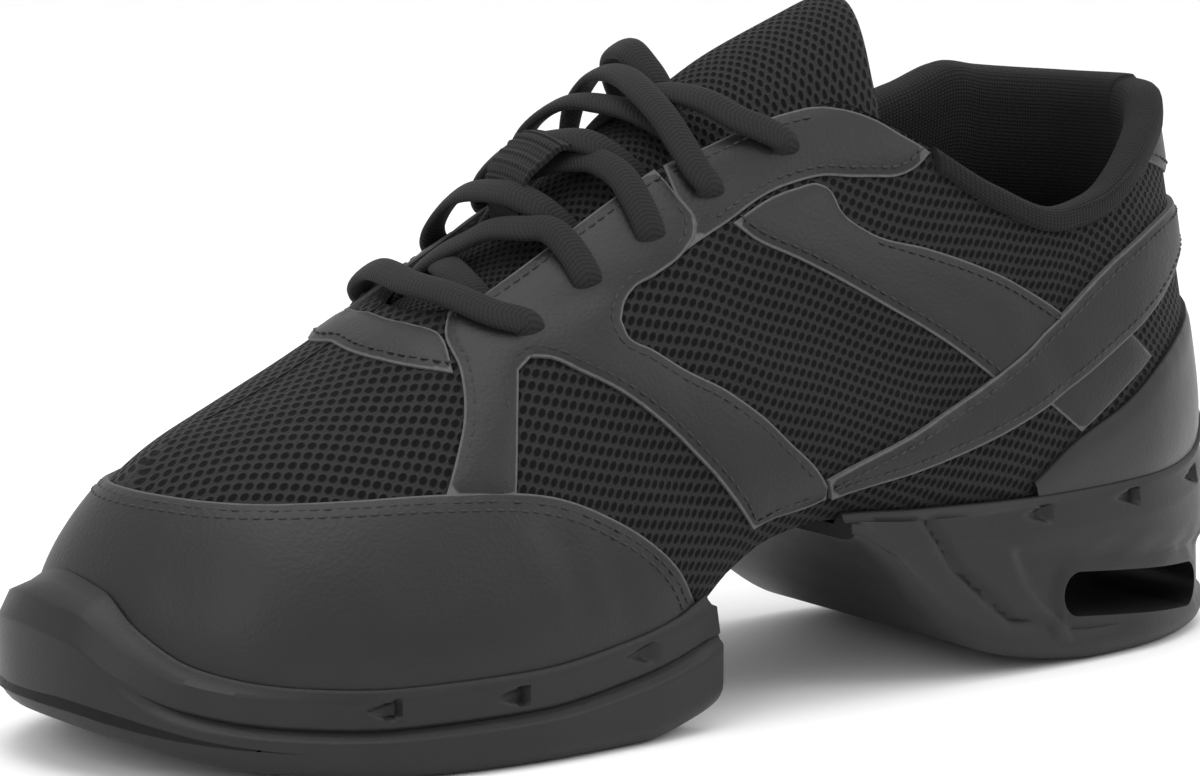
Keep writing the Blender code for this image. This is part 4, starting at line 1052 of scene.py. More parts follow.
def make_panel(name, outline, material=LEATHER, place_at=chart_place, lift=0.0,
               open_run=None, rise_of=leather_lift):
    """A panel cut to its outline on the chart and laid over the cloth. open_run is the run of the
    outline that is a cut edge in sight; without it the whole outline is."""
    outline = np.asarray(outline, float)
    middle = outline.mean(0)
    size = chart_size(outline, place_at, PANEL_PROBE)
    flat = even_outline((outline - middle) * size, OUTLINE_STEP)
    if open_run is None:
        edge = np.concatenate((flat, flat[:1]))
    else:
        edge = even_line((np.asarray(open_run) - middle) * size, OUTLINE_STEP)
    edge_points = surface(*place_at(*(edge / size + middle).T))
    builder = bmesh.new()
    face = builder.faces.new([builder.verts.new((x, y, 0)) for x, y in flat])
    builder.normal_update()
    for ring in RING_STEPS:
        bmesh.ops.inset_region(builder, faces=[face], thickness=ring, use_even_offset=True)
    for axis in (0, 1):
        cells = flat[:, axis] / PANEL_CELL
        direction = np.eye(3)[axis]
        for count in range(math.ceil(cells.min()), math.floor(cells.max()) + 1):
            whole = builder.verts[:] + builder.edges[:] + builder.faces[:]
            bmesh.ops.bisect_plane(builder, geom=whole, dist=1e-5, plane_no=direction,
                                   plane_co=direction * count * PANEL_CELL)
    bmesh.ops.triangulate(builder, faces=[item for item in builder.faces if len(item.verts) > 4])
    layer = builder.loops.layers.uv.new("cloth")
    deep = builder.verts.layers.float.new("edge")
    pulled = bmesh.ops.extrude_face_region(builder, geom=builder.faces[:])["geom"]
    for item in pulled:
        if isinstance(item, bmesh.types.BMVert):
            item.co.z = 1.0
    verts = builder.verts[:]
    places = np.array([vert.co[:] for vert in verts])
    turn, side, rise = place_at(*(places[:, :2] / size + middle).T)
    base = surface(turn, side, rise)
    gap = line_distance(base, edge_points)
    top = places[:, 2] > 0.5
    points = skin(turn, side, rise, np.where(top, rise_of(gap, lift), LEATHER_BACK))
    layout = cloth_place(base, turn, side)
    for vert, point, far, laid in zip(verts, points, gap, layout):
        move_vert(vert, point, layer, laid)
        vert[deep] = far / MM
    finish_piece("sewn_" + name, builder, material, name, merge=1e-6)


def stitch_row(edge, inset, place_at=chart_place, proud=0.0):
    """Stitch places along a panel's edge, this far inside it: points, headings and the way up."""
    edge = np.asarray(edge, float)
    size = chart_size(edge, place_at, STITCH_PROBE)
    line = even_line(edge * size, OUTLINE_STEP) / size
    points = surface(*place_at(*line.T))
    heading = unit(np.gradient(points, axis=0))
    inward = unit(np.cross(normal(*place_at(*line.T)), heading)) * inset
    slopes = np.moveaxis(chart_slopes(line, place_at, STITCH_PROBE), 0, -1)
    moved = line + (np.linalg.pinv(slopes) @ inward[..., None])[..., 0]
    places = np.array(place_at(*moved.T))
    places = places[:, line_distance(surface(*places), points) > abs(inset) * STITCH_KEPT]
    up = normal(*places)
    laid = skin(*places, LEATHER_FULL + proud)
    found = []
    lengths = np.linalg.norm(np.diff(laid, axis=0), axis=1)
    arcs = np.concatenate(([0.0], np.cumsum(lengths)))
    for index in range(int(arcs[-1] / STITCH_PITCH)):
        at = (index + 0.5) * STITCH_PITCH
        cell = min(np.searchsorted(arcs, at), len(arcs) - 1)
        if lengths[cell - 1] > STITCH_JUMP:
            continue
        share = (at - arcs[cell - 1]) / max(lengths[cell - 1], 1e-9)
        point = laid[cell - 1] * (1 - share) + laid[cell] * share
        found.append((point, unit(laid[cell] - laid[cell - 1]), up[cell]))
    return found


def stitch_shape():
    """One stitch, a capsule along its own height."""
    builder = bmesh.new()
    bmesh.ops.create_uvsphere(builder, u_segments=6, v_segments=4, radius=1.0)
    sized = (STITCH_WIDTH / 2, STITCH_WIDTH / 2, STITCH_LENGTH / 2)
    bmesh.ops.scale(builder, verts=builder.verts, vec=sized)
    return to_mesh(builder, "stitch")


def add_stitches(builder, row, shape):
    """A capsule of thread for each stitch."""
    for point, heading, up in row:
        side = unit(np.cross(heading, up))
        top = np.cross(side, heading)
        turned = Matrix((side, top, heading)).transposed().to_4x4()
        placed = Matrix.Translation(Vector(point)) @ turned
        shape.transform(placed)
        builder.from_mesh(shape)
        shape.transform(placed.inverted())


def edge_run(edge, first, last, step):
    """Chart points along the upper's top edge or just below the sole's lip."""
    across = np.linspace(first, last, max(int(abs(last - first) / step), 2) + 1)
    turn, side, _ = chart_place(across, np.zeros_like(across))
    if edge == "top":
        rise = top_rise(turn, side)
    else:
        rise = rise_at_height(turn, side, lip_height(turn) - UNDER_LIP)
    return list(zip(across, rise / (math.pi / 2)))


def other_side(outline):
    return [(2 - across, height) for across, height in outline]


def round_heel(outline):
    return [(-across, height) for across, height in outline]


# How far each panel is raised over the others, the rows of thread on one side of the shoe, and how proud
# each row lies: a run of an outline, how far inside it, and the rise
TOE_CAP_LIFT = 0.30 * MM
COUNTER_LIFT = 0.40 * MM
EYESTAY_LIFT = 0.25 * MM
SWEEP_LIFT = 0.80 * MM
STRAP_LIFT = -0.20 * MM
TOE_ROWS = ((STITCH_INSET, 0.12 * MM), (SECOND_INSET, 0.30 * MM))
SIDE_ROWS = (
    (EYESTAY_FRONT, STITCH_INSET, 0.10 * MM),
    (EYESTAY_LEGS[:12], STITCH_INSET, 0.10 * MM),
    (EYESTAY_LEGS[14:], STITCH_INSET, 0.10 * MM),
    (EYESTAY_REAR, STITCH_INSET, 0.10 * MM),
    (REAR_BOTTOM, STITCH_INSET, 0.0),
    (QUARTER_BAND[:7], STITCH_INSET, 0.0),
    (QUARTER_BAND[8:13], STITCH_INSET, 0.0),
    (SWEEP_TOP, -STITCH_INSET, 0.70 * MM),
    (SWEEP_LOW, -STITCH_INSET, 0.70 * MM),
)


def make_panels():
    """Every overlay, and the thread that sews them down."""
    toe_edge = list(TOE_EDGE) + other_side(TOE_EDGE[-2::-1])
    lip = edge_run("lip", 2 - TOE_START, TOE_START, 0.006)
    make_panel("toe_cap", lip + toe_edge, open_run=toe_edge, lift=TOE_CAP_LIFT)
    make_panel("vamp_bar", VAMP_FRONT + VAMP_BACK, place_at=over_place)
    counter_top = list(COUNTER_TOP) + round_heel(COUNTER_TOP[-2::-1])
    heel_lip = edge_run("lip", -COUNTER_TOP[0][0], COUNTER_TOP[0][0], 0.006)
    make_panel("heel_counter", heel_lip[1:-1] + counter_top, material=MOULDED, open_run=counter_top,
               lift=COUNTER_LIFT)
    tab_top = edge_run("top", -TAB_BOTTOM[0][0], TAB_BOTTOM[0][0], 0.006)
    make_panel("back_tab", list(TAB_BOTTOM) + tab_top[1:-1], open_run=TAB_BOTTOM)
    rows = [stitch_row(toe_edge, inset, proud=proud) for inset, proud in TOE_ROWS]
    rows.append(stitch_row(VAMP_FRONT, -STITCH_INSET, over_place))
    rows.append(stitch_row(TAB_BOTTOM, STITCH_INSET))
    for side_name, turned, way in (("_outer", list, 1), ("_inner", other_side, -1)):
        def top_of(ends):
            (first, _), (last, _) = turned((across, 0.0) for across in ends)
            return edge_run("top", first, last, 0.004)

        front = turned(EYESTAY_FRONT + EYESTAY_FOOT + EYESTAY_LEGS + EYESTAY_REAR)
        rear = turned(EYESTAY_REAR[::-1] + REAR_BOTTOM + REAR_BACK)
        binding = turned(BINDING_BOTTOM)
        make_panel("front_eyestay" + side_name, front + top_of(EYESTAY_TOP), lift=EYESTAY_LIFT)
        make_panel("rear_eyestay" + side_name, rear + top_of(REAR_TOP))
        make_panel("quarter_band" + side_name, turned(QUARTER_BAND))
        make_panel("sweep_band" + side_name, turned(SWEEP_TOP + SWEEP_LOW), lift=SWEEP_LIFT)
        make_panel("heel_strap" + side_name, turned(HEEL_STRAP), lift=STRAP_LIFT)
        make_panel("collar_binding" + side_name, binding + top_of(BINDING_TOP), KNIT,
                   open_run=binding, rise_of=knit_lift)
        for run, inset, proud in SIDE_ROWS:
            rows.append(stitch_row(turned(run), way * inset, proud=proud))
        rows.append(stitch_row(top_of(EYESTAY_TOP), way * TOP_INSET, proud=0.2 * MM))
        rows.append(stitch_row(top_of(REAR_TOP), way * TOP_INSET))
    builder = bmesh.new()
    shape = stitch_shape()
    for row in rows:
        add_stitches(builder, row, shape)
    bpy.data.meshes.remove(shape)
    finish_piece("stitches", builder, THREAD, merge=1e-7)


def rise_at_gap(turn, side, gap):
    centre = ridge(turn)[..., 1]
    return halved(lambda rise: np.abs(surface(turn, side, rise)[..., 1] - centre) < gap, turn.shape)


def tongue_surface(share, across, lift):
    """Points over the tongue: share runs back from its front end, across from -1, outside, to 1."""
    front = turn_of(THROAT_FRONT + TONGUE_TUCK)
    back = turn_of(THROAT_BACK + TONGUE_REACH)
    turn = front + (back - front) * share
    half = TONGUE_FRONT_HALF + (TONGUE_BACK_HALF - TONGUE_FRONT_HALF) * share
    side = np.where(across < 0, 1.0, -1.0)
    reach = (half + side * THROAT_SHIFT) * np.abs(across)
    rise = np.where(np.abs(across) < 1e-6, math.pi / 2, rise_at_gap(turn, side, reach))
    rise = np.minimum(rise, math.pi / 2)
    point = raised(turn, side, rise, lift - WALL - TONGUE_CLEARANCE)
    rising = np.maximum(share - CROWN_START, 0.0) / (1 - CROWN_START)
    point[..., 2] += TONGUE_CROWN * rising * np.maximum(1 - CROWN_FALL * across * across, 0.0)
    return point


TONGUE_BACK_SHARE = 0.82
TONGUE_COLUMNS = 36
TONGUE_ROWS = 90
TONGUE_BORDER = 0.22
TONGUE_EDGE_SHARE = 0.25
TONGUE_CROWN_SHARE = 0.80
HEADING_PLACES = 9


def tongue_heading():
    """The way the tongue runs on past the throat, sloped up."""
    lines = np.linspace(-1, 1, HEADING_PLACES)
    before, last = (tongue_surface(np.full(HEADING_PLACES, share), lines, np.zeros(HEADING_PLACES))
                    for share in (1 - 1 / 9, 1.0))
    heading = (last - before).mean(0)
    return unit(np.array((heading[0], 0.0, heading[2] + abs(heading[0]) * TONGUE_SLOPE)))


def tongue_place(depth, heading):
    """One face of the padded tongue, the top for depth 0 and the bottom for 1."""
    def place(u, v):
        across = (u - 0.5) * 2
        share = np.minimum(v / TONGUE_BACK_SHARE, 1.0)
        plump = TONGUE_THICKNESS * (TONGUE_THIN + (1 - TONGUE_THIN) * share)
        border = np.minimum(1 - np.abs(across), np.minimum(v, 1 - v) * 3)
        crown = np.sqrt(1 - (1 - np.clip(border / TONGUE_BORDER, 0, 1)) ** 2)
        half = plump * (0.5 - depth) * (TONGUE_EDGE_SHARE + TONGUE_CROWN_SHARE * crown)
        point = tongue_surface(share, across, -plump * 0.5 + half)
        onward = np.clip((v - TONGUE_BACK_SHARE) / (1 - TONGUE_BACK_SHARE), 0.0, 1.0)
        reach = TONGUE_END * onward * (1 - TONGUE_CORNER * across * across)
        return point + heading * reach[..., None]
    return place


def make_tongue():
    """The padded tongue, its two faces sewn together round the border."""
    builder = bmesh.new()
    heading = tongue_heading()
    for depth in (0.0, 1.0):
        place = tongue_place(depth, heading)
        place_grid(builder, TONGUE_COLUMNS, TONGUE_ROWS, place, sheet(52, 128, 0.5))
    bmesh.ops.bridge_loops(builder, edges=border_edges(builder))
    piece = finish_piece("padded_tongue", builder, TONGUE_MESH, "tongue", sharp=70.0)


KEEPER_COLUMNS = 20
KEEPER_RIBS = 13
KEEPER_RIB_RISE = 0.22 * MM


def make_keeper():
    """The arched band of ribbed webbing that the laces pass under."""
    shares, arches = np.array(KEEPER_ROWS).T
    knots = np.linspace(0, 1, len(shares))
    share_of, arch_of = Curve(knots, shares), Curve(knots, arches)
    builder = bmesh.new()
    for lift in (CLEARANCE + KEEPER_THICKNESS, CLEARANCE):
        def place(u, v, lift=lift):
            across = KEEPER_ENDS[0] + (KEEPER_ENDS[1] - KEEPER_ENDS[0]) * u
            ribs = KEEPER_RIB_RISE * np.cos(v * 2 * math.pi * KEEPER_RIBS) * (lift > CLEARANCE)
            return tongue_surface(share_of(v), across, lift + KEEPER_ARCH * arch_of(v) + ribs)
        place_grid(builder, KEEPER_COLUMNS, 12 * KEEPER_RIBS, place, sheet(12, 34))
    bmesh.ops.bridge_loops(builder, edges=border_edges(builder))
    finish_piece("ribbed_keeper", builder, RIBBED, "lace_keeper", sharp=60.0)


def strand_path(rows, steps):
    """The middle of a lace and the last's normal at each of its points."""
    knots = np.arange(len(rows))
    at = np.linspace(0, len(rows) - 1, steps + 1)
    turn, over, lift = (Curve(knots, column)(at) for column in np.array(rows).T)
    place = over_place(turn, over)
    return surface(*place) + normal(*place) * lift[..., None], normal(*place)


# A lace's section is a flat oval, and its weave is laid out this many millimetres round
LACE_ROUND = 20
LACE_STEPS = 96
LACE_SMOOTHINGS = 3
LACE_SIDES = 0.9
LACE_FACES = 0.8
LACE_GIRTH = 13


def lace_tube(builder, points, ups):
    """A flat-oval lace swept along its middle line."""
    for _ in range(LACE_SMOOTHINGS):
        points[1:-1] = (points[:-2] + 2 * points[1:-1] + points[2:]) / 4
    heading = unit(np.gradient(points, axis=0))
    across = unit(np.cross(heading, ups))
    up = np.cross(across, heading)
    arc = arc_lengths(points)

    def place(u, v):
        cell = np.rint(v * (len(points) - 1)).astype(int)
        angle = 2 * math.pi * u
        wide = np.sign(np.cos(angle)) * np.abs(np.cos(angle)) ** LACE_SIDES * LACE_WIDTH / 2
        thick = np.sign(np.sin(angle)) * np.abs(np.sin(angle)) ** LACE_FACES * LACE_THICKNESS / 2
        return points[cell] + across[cell] * wide[..., None] + up[cell] * thick[..., None]

    def layout(u, v):
        cell = np.rint(v * (len(points) - 1)).astype(int)
        return np.stack(((np.abs(u - 0.5) - 0.25) * LACE_GIRTH, arc[cell] / MM), -1)

    place_grid(builder, LACE_ROUND, len(points) - 1, place, layout)
    bmesh.ops.remove_doubles(builder, verts=builder.verts, dist=1e-6)
    bmesh.ops.holes_fill(builder, edges=border_edges(builder))


def make_laces():
    """The bar at the front, then the crossing laces of each pair of holes."""
    for name, node, strands in LACE_PIECES:
        builder = bmesh.new()
        for rows in strands:
            lace_tube(builder, *strand_path(rows, LACE_STEPS))
        finish_piece(name, builder, LACE, node, sharp=70.0)


# The collar's padded roll in section: climb up the wall, lift off it, and height over its top edge
ROLL_ROWS = (
    (0.600, -0.0027, 0.0000),
    (0.660, -0.0046, 0.0000),
    (0.740, -0.0060, 0.0000),
    (0.840, -0.0066, 0.0000),
    (0.920, -0.0066, 0.0000),
    (0.975, -0.0060, 0.0000),
    (1.000, -0.0044, 0.0008),
    (1.000, -0.0024, 0.0013),
    (1.000, -0.0004, 0.0012),
    (1.000, 0.0012, 0.0006),
    (0.990, 0.0020, 0.0000),
    (0.960, 0.0018, 0.0000),
    (0.930, 0.0010, 0.0000),
    (0.930, -0.0022, 0.0000),
    (0.850, -0.0025, 0.0000),
    (0.720, -0.0025, 0.0000),
    (0.600, -0.0026, 0.0000),
)


# Millimetres to one in each of its columns
ROLL_SCALE = (60, 1000, 1000)
ROLL_COLUMNS = 200
ROLL_STEPS = 72
ROLL_OVERRUN = 0.03
PUFF = 0.5 * MM


def make_collar():
    """The padded roll round the top of the collar and down inside it."""
    rows = np.array(ROLL_ROWS)
    arcs = arc_lengths(rows * ROLL_SCALE)
    climb_of, lift_of, over_of = (Curve(arcs / arcs[-1], column) for column in rows.T)

    def place(u, v):
        across = (u - 0.5) * 2 * (LINING_REACH + ROLL_OVERRUN)
        turn, side = fold_ends(across, np.ones_like(across))
        rise = top_rise(turn, side) * climb_of(v)
        ends = smooth_step(0.0, 0.06, np.minimum(u, 1 - u))
        lift = np.where(lift_of(v) > 0, lift_of(v), -WALL + (lift_of(v) + WALL) * (0.25 + 0.75 * ends))
        puff = PUFF * np.sin(v * math.pi * 2) * ends
        point = skin(turn, side, rise, lift - puff)
        point[..., 2] += over_of(v) * (0.3 + 0.7 * ends)
        return point

    builder = bmesh.new()
    place_grid(builder, ROLL_COLUMNS, ROLL_STEPS, place, sheet(250, 80))
    bmesh.ops.remove_doubles(builder, verts=builder.verts, dist=2e-5)
    bmesh.ops.holes_fill(builder, edges=border_edges(builder))
    piece = finish_piece("padded_collar", builder, KNIT, "collar_lining", sharp=80.0)


INSOLE_COLUMNS = 200
INSOLE_ROWS = 24


def make_insole():
    """The footbed, a little dished, lying on the upper's margin."""
    low = WALL + CLEARANCE
    inset = WALL + 2 * CLEARANCE

    def face(thickness):
        def place(u, v):
            turn, side = ring_turns(u)
            rim = feather(turn, side) - outward(turn, side) * inset
            middle = underside(turn, side, np.ones_like(turn), 0.0)
            point = rim * (1 - v)[..., None] + middle * v[..., None]
            rounded = np.clip(v / 0.06, 0.0, 1.0) ** 0.5
            point[..., 2] = feather(turn, side)[..., 2] + low + thickness * rounded
            return point
        return place

    builder = bmesh.new()
    for thickness in (0, INSOLE_THICKNESS):
        place_grid(builder, INSOLE_COLUMNS, INSOLE_ROWS, face(thickness), sheet(560, 40))
    finish_piece("footbed", builder, LINING, "insole", sharp=60.0)


# The heel unit's side, seen square on: points of its lines as (x, z) on the last
HEEL_FRONT_GROOVE = ((0.099, 0.0365), (0.091, 0.0245), (0.076, 0.0120), (0.065, 0.0090))
PANEL_FRONT = ((0.076, 0.0275), (0.0725, 0.0200), (0.066, 0.0130), (0.060, 0.0085))
PANEL_LEDGE = ((0.076, 0.0270), (0.051, 0.0250), (0.023, 0.0216), (-0.010, 0.0175))
FOREFOOT_NOTCHES = ((0.2330, 0.0140), (0.2060, 0.0140), (0.1750, 0.0180))
HEEL_NOTCHES = ((0.0690, 0.0330), (0.0420, 0.0335), (0.0160, 0.0340))
NOTCH_LENGTH = 0.0085
NOTCH_HEIGHT = 0.0052
NOTCH_DEPTH = 0.0022
GROOVE_DEPTH = 0.0014
GROOVE_WIDTH = 0.0009
RECESS_DEPTH = 0.0013
WINDOW_RIM = 0.0009
LEDGE_STEP = 0.0012
LEDGE_GROOVE = 0.0012
LIP_STEP = 0.0016

# Where the forefoot unit's ledge comes in and fades out. The rows at a ledge: height from it, and how
# far the groove is sunk there. The rows over the lip: how far out as a share, and height. Then the rows
# down its inside, under the foot and out along the tread, as shares
LEDGE_IN = (0.54, 0.56)
LEDGE_OUT = (0.86, 0.93)
LEDGE_ROWS = ((-0.0007, 0.35), (-0.0001, 1.0), (0.0006, 0.85), (LEDGE_STEP, 0.1))
LIP_OVER = ((1.0, -0.0001), (0.8, 0.0004), (0.5, 0.0005), (0.2, 0.0002), (0.0, -0.0004))
LIP_INSIDE = (0.66, 0.33, 0.02)
BED_ROWS = (0.0, 0.3, 1.0)
TREAD_SHARES = (0.35, 0.7, 1.0)


def bumper(turn):
    share = np.clip((turn - BUMPER_START) / (1 - BUMPER_START), 0.0, 1.0)
    return BUMPER * share * share * (3 - 2 * share)


def side_line(turn, side, proud):
    away = SIDE_BULGE * BULGE + LIP_THICKNESS + proud
    return feather(turn, side) + outward(turn, side) * away[..., None]


def flat_gap(x, z, line):
    points = np.stack((x, z), -1)
    return line_distance(points.reshape(-1, 2), np.array(line)).reshape(x.shape)


def notch_dent(x, z, notches):
    """Slanted wedges sunk in the side: deep at the rear, running out forward."""
    dent = np.zeros_like(x)
    for middle, level in notches:
        along = (x - middle) / NOTCH_LENGTH
        above = (z - level) / NOTCH_HEIGHT
        inside = smooth_step(-0.52, -0.42, along) * (1 - smooth_step(0.30, 0.52, along))
        taper = 0.40 * np.clip(along + 0.5, 0, 1)
        inside = inside * (1 - smooth_step(0.30, 0.42, np.abs(above) + taper))
        dent = np.maximum(dent, inside * np.clip(0.5 - along, 0.2, 1.0))
    return dent * NOTCH_DEPTH


def side_relief(x, z, heel):
    """How far the side of a sole unit is sunk or raised at a place, seen square on."""
    if not heel:
        return -notch_dent(x, z, FOREFOOT_NOTCHES)
    groove = np.exp(-(flat_gap(x, z, HEEL_FRONT_GROOVE) / GROOVE_WIDTH) ** 2) * GROOVE_DEPTH
    ledge_x, ledge_z = np.array(PANEL_LEDGE)[::-1].T
    front_x, front_z = np.array(PANEL_FRONT)[::-1].T
    below = smooth_step(-0.0004, 0.0010, np.interp(x, ledge_x, ledge_z) - z)
    behind = smooth_step(-0.0004, 0.0012, np.interp(z, front_z, front_x) - x)
    floor = smooth_step(0.0035, 0.0060, z)
    recess = RECESS_DEPTH * below * behind * floor
    run, climb = x - WINDOW_MIDDLE, z - WINDOW_LEVEL
    run, climb = (run * math.cos(WINDOW_TILT) + climb * math.sin(WINDOW_TILT),
                  climb * math.cos(WINDOW_TILT) - run * math.sin(WINDOW_TILT))
    past = np.maximum(np.abs(run) - (WINDOW_LENGTH - WINDOW_HEIGHT) / 2, 0.0)
    slot_gap = np.hypot(past, climb) - WINDOW_HEIGHT / 2
    rim = WINDOW_RIM * (1 - smooth_step(0.0012, 0.0026, np.abs(slot_gap)))
    return rim - groove - recess - notch_dent(x, z, HEEL_NOTCHES)


def sole_section(turn, side, heel):
    """A sole unit's section as rows of points, from the middle of the tread out and up to the
    lip, over it and down inside, and back to the middle of the footbed."""
    rows = []
    flare = np.full(turn.shape, SOLE_FLARE) + bumper(turn)
    lip = lip_height(turn)
    floor_line = tread_height(feather(turn, side)[..., 0])
    room = lip - floor_line
    middle = underside(turn, side, np.ones_like(turn), 0.0)
    flat = side_line(turn, side, flare - TREAD_FLAT)

    def on_tread(point, up=0.0):
        point[..., 2] = tread_height(point[..., 0]) + up
        rows.append(point)

    for share in (0.0, *TREAD_SHARES):
        on_tread(middle * (1 - share) + flat * share)
    rounding = np.minimum(TREAD_ROUND, 0.3 * room)
    for share in TREAD_SHARES:
        on_tread(side_line(turn, side, flare - TREAD_FLAT + (TREAD_FLAT - TREAD_ROUND) * share))
    for angle in np.linspace(0, math.pi / 2, 7)[1:]:
        on_tread(side_line(turn, side, flare - TREAD_ROUND * (1 - math.sin(angle))),
                 rounding * (1 - math.cos(angle)))
    fall = np.minimum(LEDGE_DROP, 0.55 * room)
    ledge = lip - fall
    start = floor_line + rounding
    faded = 0.0 if heel else smooth_step(*LEDGE_IN, turn) * (1 - smooth_step(*LEDGE_OUT, turn))
    top_proud = bumper(turn)
    steps = 12 if heel else 7
    for share in np.linspace(0, 1, steps + 1)[1:]:
        height = start + (ledge - LEDGE_STEP - start) * share
        cup = flare * (1 - 0.5 * share) if heel else flare
        rows.append(relieved(turn, side, cup, height, heel))
    for offset, sunk in LEDGE_ROWS:
        sunk_in = SOLE_FLARE * smooth_step(-0.001, 0.001, offset) + LEDGE_GROOVE * sunk
        cup = (flare + top_proud) / 2 if heel else flare - sunk_in * faded
        rows.append(relieved(turn, side, cup, ledge + offset, heel))
    for share in np.linspace(0, 1, 11)[1:-1]:
        height = ledge + LEDGE_STEP + (lip - LIP_STEP - ledge - LEDGE_STEP) * share
        flared = SOLE_FLARE * (1 - faded) * (1 - share) * (0.5 if heel else 1)
        rows.append(relieved(turn, side, top_proud * (1 - 0.25 * share) + flared, height, heel))
    rise = rise_at_height(turn, side, lip)
    outer_lip = raised(turn, side, rise, CLEARANCE + LIP_THICKNESS)
    below_lip = relieved(turn, side, top_proud * 0.7, lip - 0.0014, heel)
    rows.append(below_lip * 0.35 + outer_lip * 0.65 - np.array((0, 0, 0.0007)))
    for lift, up in LIP_OVER:
        point = raised(turn, side, rise, CLEARANCE + LIP_THICKNESS * 0.9 * lift)
        point[..., 2] += up
        rows.append(point)
    for share in LIP_INSIDE:
        rows.append(raised(turn, side, rise * share, CLEARANCE))
    for share in BED_ROWS:
        rows.append(underside(turn, side, share, -CLEARANCE))
    return np.stack(rows)


def relieved(turn, side, proud, height, heel):
    """Points on a sole unit's side at a height, sunk or raised by its relief."""
    point = side_line(turn, side, proud)
    point += outward(turn, side) * side_relief(point[..., 0], height, heel)[..., None]
    point[..., 2] = height
    return point


def make_sole(name, node, first, last, columns, heel):
    """A sole unit lofted round the last in two halves, closed by its wall under the arch."""
    builder = bmesh.new()
    for way in (1.0, -1.0):
        turns = np.linspace(first, last, columns + 1)
        rows = sole_section(turns, np.full(turns.shape, way), heel)
        count = len(rows) - 1

        def place(u, v):
            return rows[np.rint(v * count).astype(int), np.rint(u * columns).astype(int)]

        place_grid(builder, columns, count, place, sheet(150, 90))
    bmesh.ops.remove_doubles(builder, verts=builder.verts, dist=3e-5)
    wall = bmesh.ops.holes_fill(builder, edges=border_edges(builder))["faces"]
    bmesh.ops.triangulate(builder, faces=wall)
    return finish_piece(name, builder, RUBBER, node, sharp=48.0)


def slot_cutter():
    """A slot with round ends, right through the heel unit from side to side."""
    builder = bmesh.new()
    bmesh.ops.create_circle(builder, cap_ends=True, segments=48, radius=WINDOW_HEIGHT / 2)
    half = (WINDOW_LENGTH - WINDOW_HEIGHT) / 2
    for vert in builder.verts:
        vert.co.x += half if vert.co.x > 0 else -half
    pulled = bmesh.ops.extrude_face_region(builder, geom=builder.faces[:])["geom"]
    moved = [item for item in pulled if isinstance(item, bmesh.types.BMVert)]
    bmesh.ops.translate(builder, verts=moved, vec=(0, 0, 2 * BALL_WIDTH))
    placed = (Matrix.Translation((WINDOW_MIDDLE, BALL_WIDTH, WINDOW_LEVEL))
              @ Matrix.Rotation(-WINDOW_TILT, 4, "Y") @ Matrix.Rotation(math.pi / 2, 4, "X"))
    bmesh.ops.transform(builder, matrix=placed, verts=builder.verts)
    bmesh.ops.recalc_face_normals(builder, faces=builder.faces)
    mesh = to_mesh(builder, "slot_cutter")
    mesh.transform(Matrix.Translation(Vector(LAST_ORIGIN)))
    return add_object("slot_cutter", mesh)


def cut_window(piece):
    """Cut the slot and keep the cut mesh."""
    cutter = slot_cutter()
    cut = piece.modifiers.new("window", "BOOLEAN")
    cut.operation = "DIFFERENCE"
    cut.solver = "EXACT"
    cut.object = cutter
    view = bpy.context.evaluated_depsgraph_get()
    shaped = bpy.data.meshes.new_from_object(piece.evaluated_get(view))
    piece.modifiers.clear()
    old = piece.data
    piece.data = shaped
    shaped.shade_smooth()
    shaped.set_sharp_from_angle(angle=math.radians(45))
    bpy.data.meshes.remove(old)
    bpy.data.objects.remove(cutter)


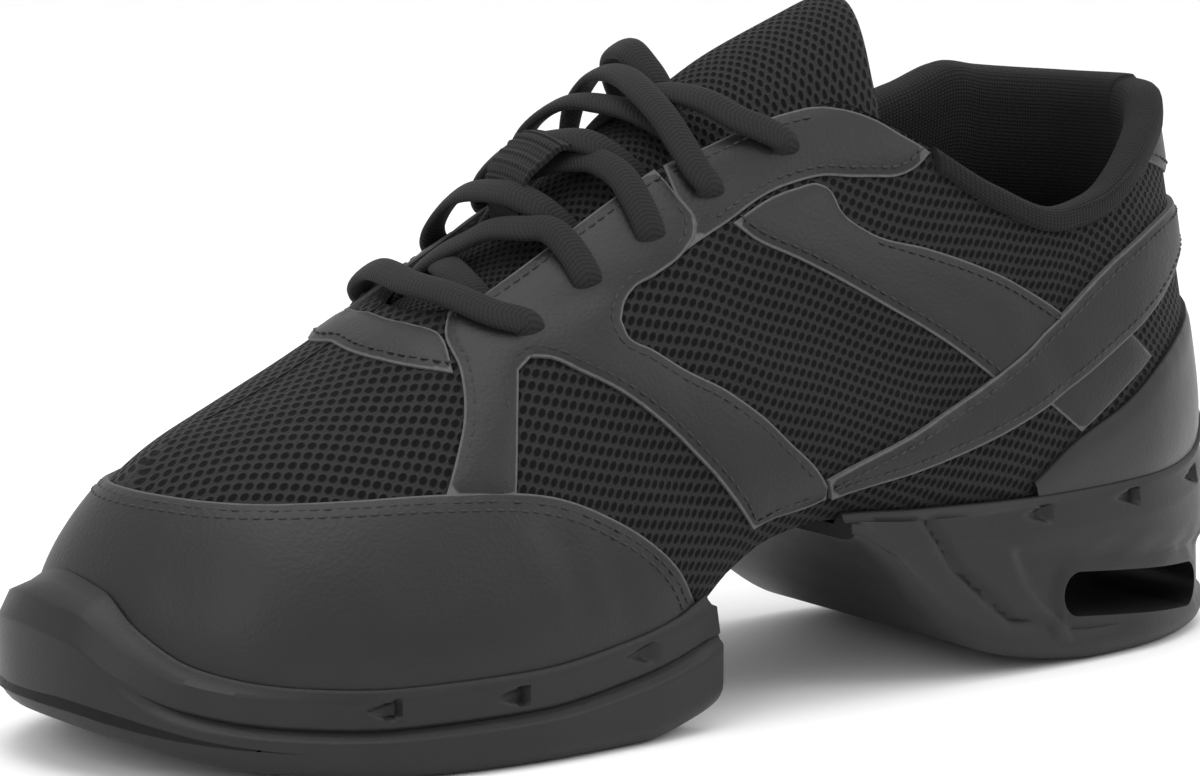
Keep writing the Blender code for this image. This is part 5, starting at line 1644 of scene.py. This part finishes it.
def make_camera():
    camera = bpy.data.cameras.new("camera")
    camera.lens = CAMERA_LENS
    camera.sensor_width = 36.0
    camera.clip_end = 20.0
    seen = add_object("camera", camera)
    back = Vector((
        math.sin(CAMERA_TURN) * math.cos(CAMERA_RISE),
        math.cos(CAMERA_TURN) * math.cos(CAMERA_RISE),
        math.sin(CAMERA_RISE),
    ))
    seen.location = Vector(CAMERA_TARGET) + back * CAMERA_DISTANCE
    seen.rotation_euler = back.to_track_quat("Z", "Y").to_euler()
    bpy.context.scene.camera = seen


def area_light(name, place, target, size, power):
    light = bpy.data.lights.new(name, "AREA")
    light.shape = "RECTANGLE"
    light.size, light.size_y = size
    light.energy = power
    lamp = add_object(name, light)
    lamp.location = place
    lamp.rotation_euler = (Vector(place) - Vector(target)).to_track_quat("Z", "Y").to_euler()


# The soft lights: name, place, what each is turned to, size and power
LIGHTS = (
    ("overhead", (0.15, 0.10, 1.3), (0.0, 0.0, 0.05), (1.1, 1.1), 9.0),
    ("front_left", (1.1, 0.5, 0.7), (0.05, 0.0, 0.05), (0.7, 0.7), 3.0),
    ("rear_right", (-0.8, 0.9, 0.9), (-0.05, 0.0, 0.05), (0.6, 0.6), 3.0),
)


def make_studio():
    """A pale floor, a white surround and soft lights from above."""
    scene = bpy.context.scene
    scene.view_settings.view_transform = "Standard"
    world = bpy.data.worlds.new("studio")
    world.use_nodes = True
    world.node_tree.nodes["Background"].inputs["Color"].default_value = (1.0, 1.0, 1.0, 1.0)
    world.node_tree.nodes["Background"].inputs["Strength"].default_value = 1.0
    scene.world = world
    builder = bmesh.new()
    bmesh.ops.create_grid(builder, x_segments=1, y_segments=1, size=4.0)
    mesh = to_mesh(builder, "floor")
    finish = Finish("pale_floor", (0.92, 0.92, 0.92), 0.9)
    grain = finish.noise(40.0, 2.0)
    finish.use("Base Color", finish.mixed(grain, (0.90, 0.90, 0.90, 1.0), (0.94, 0.94, 0.94, 1.0)))
    mesh.materials.append(finish.material)
    floor = add_object("floor", mesh)
    for light in LIGHTS:
        area_light(*light)


make_camera()
make_studio()
make_upper()
make_rim()
make_insole()
make_panels()
make_tongue()
make_collar()
make_keeper()
make_laces()
make_sole("forefoot_unit", "forefoot_sole", ARCH_END, 1.0, 150, False)
heel_unit = make_sole("heel_unit", "heel_sole", 0.0, ARCH_START, 130, True)
cut_window(heel_unit)
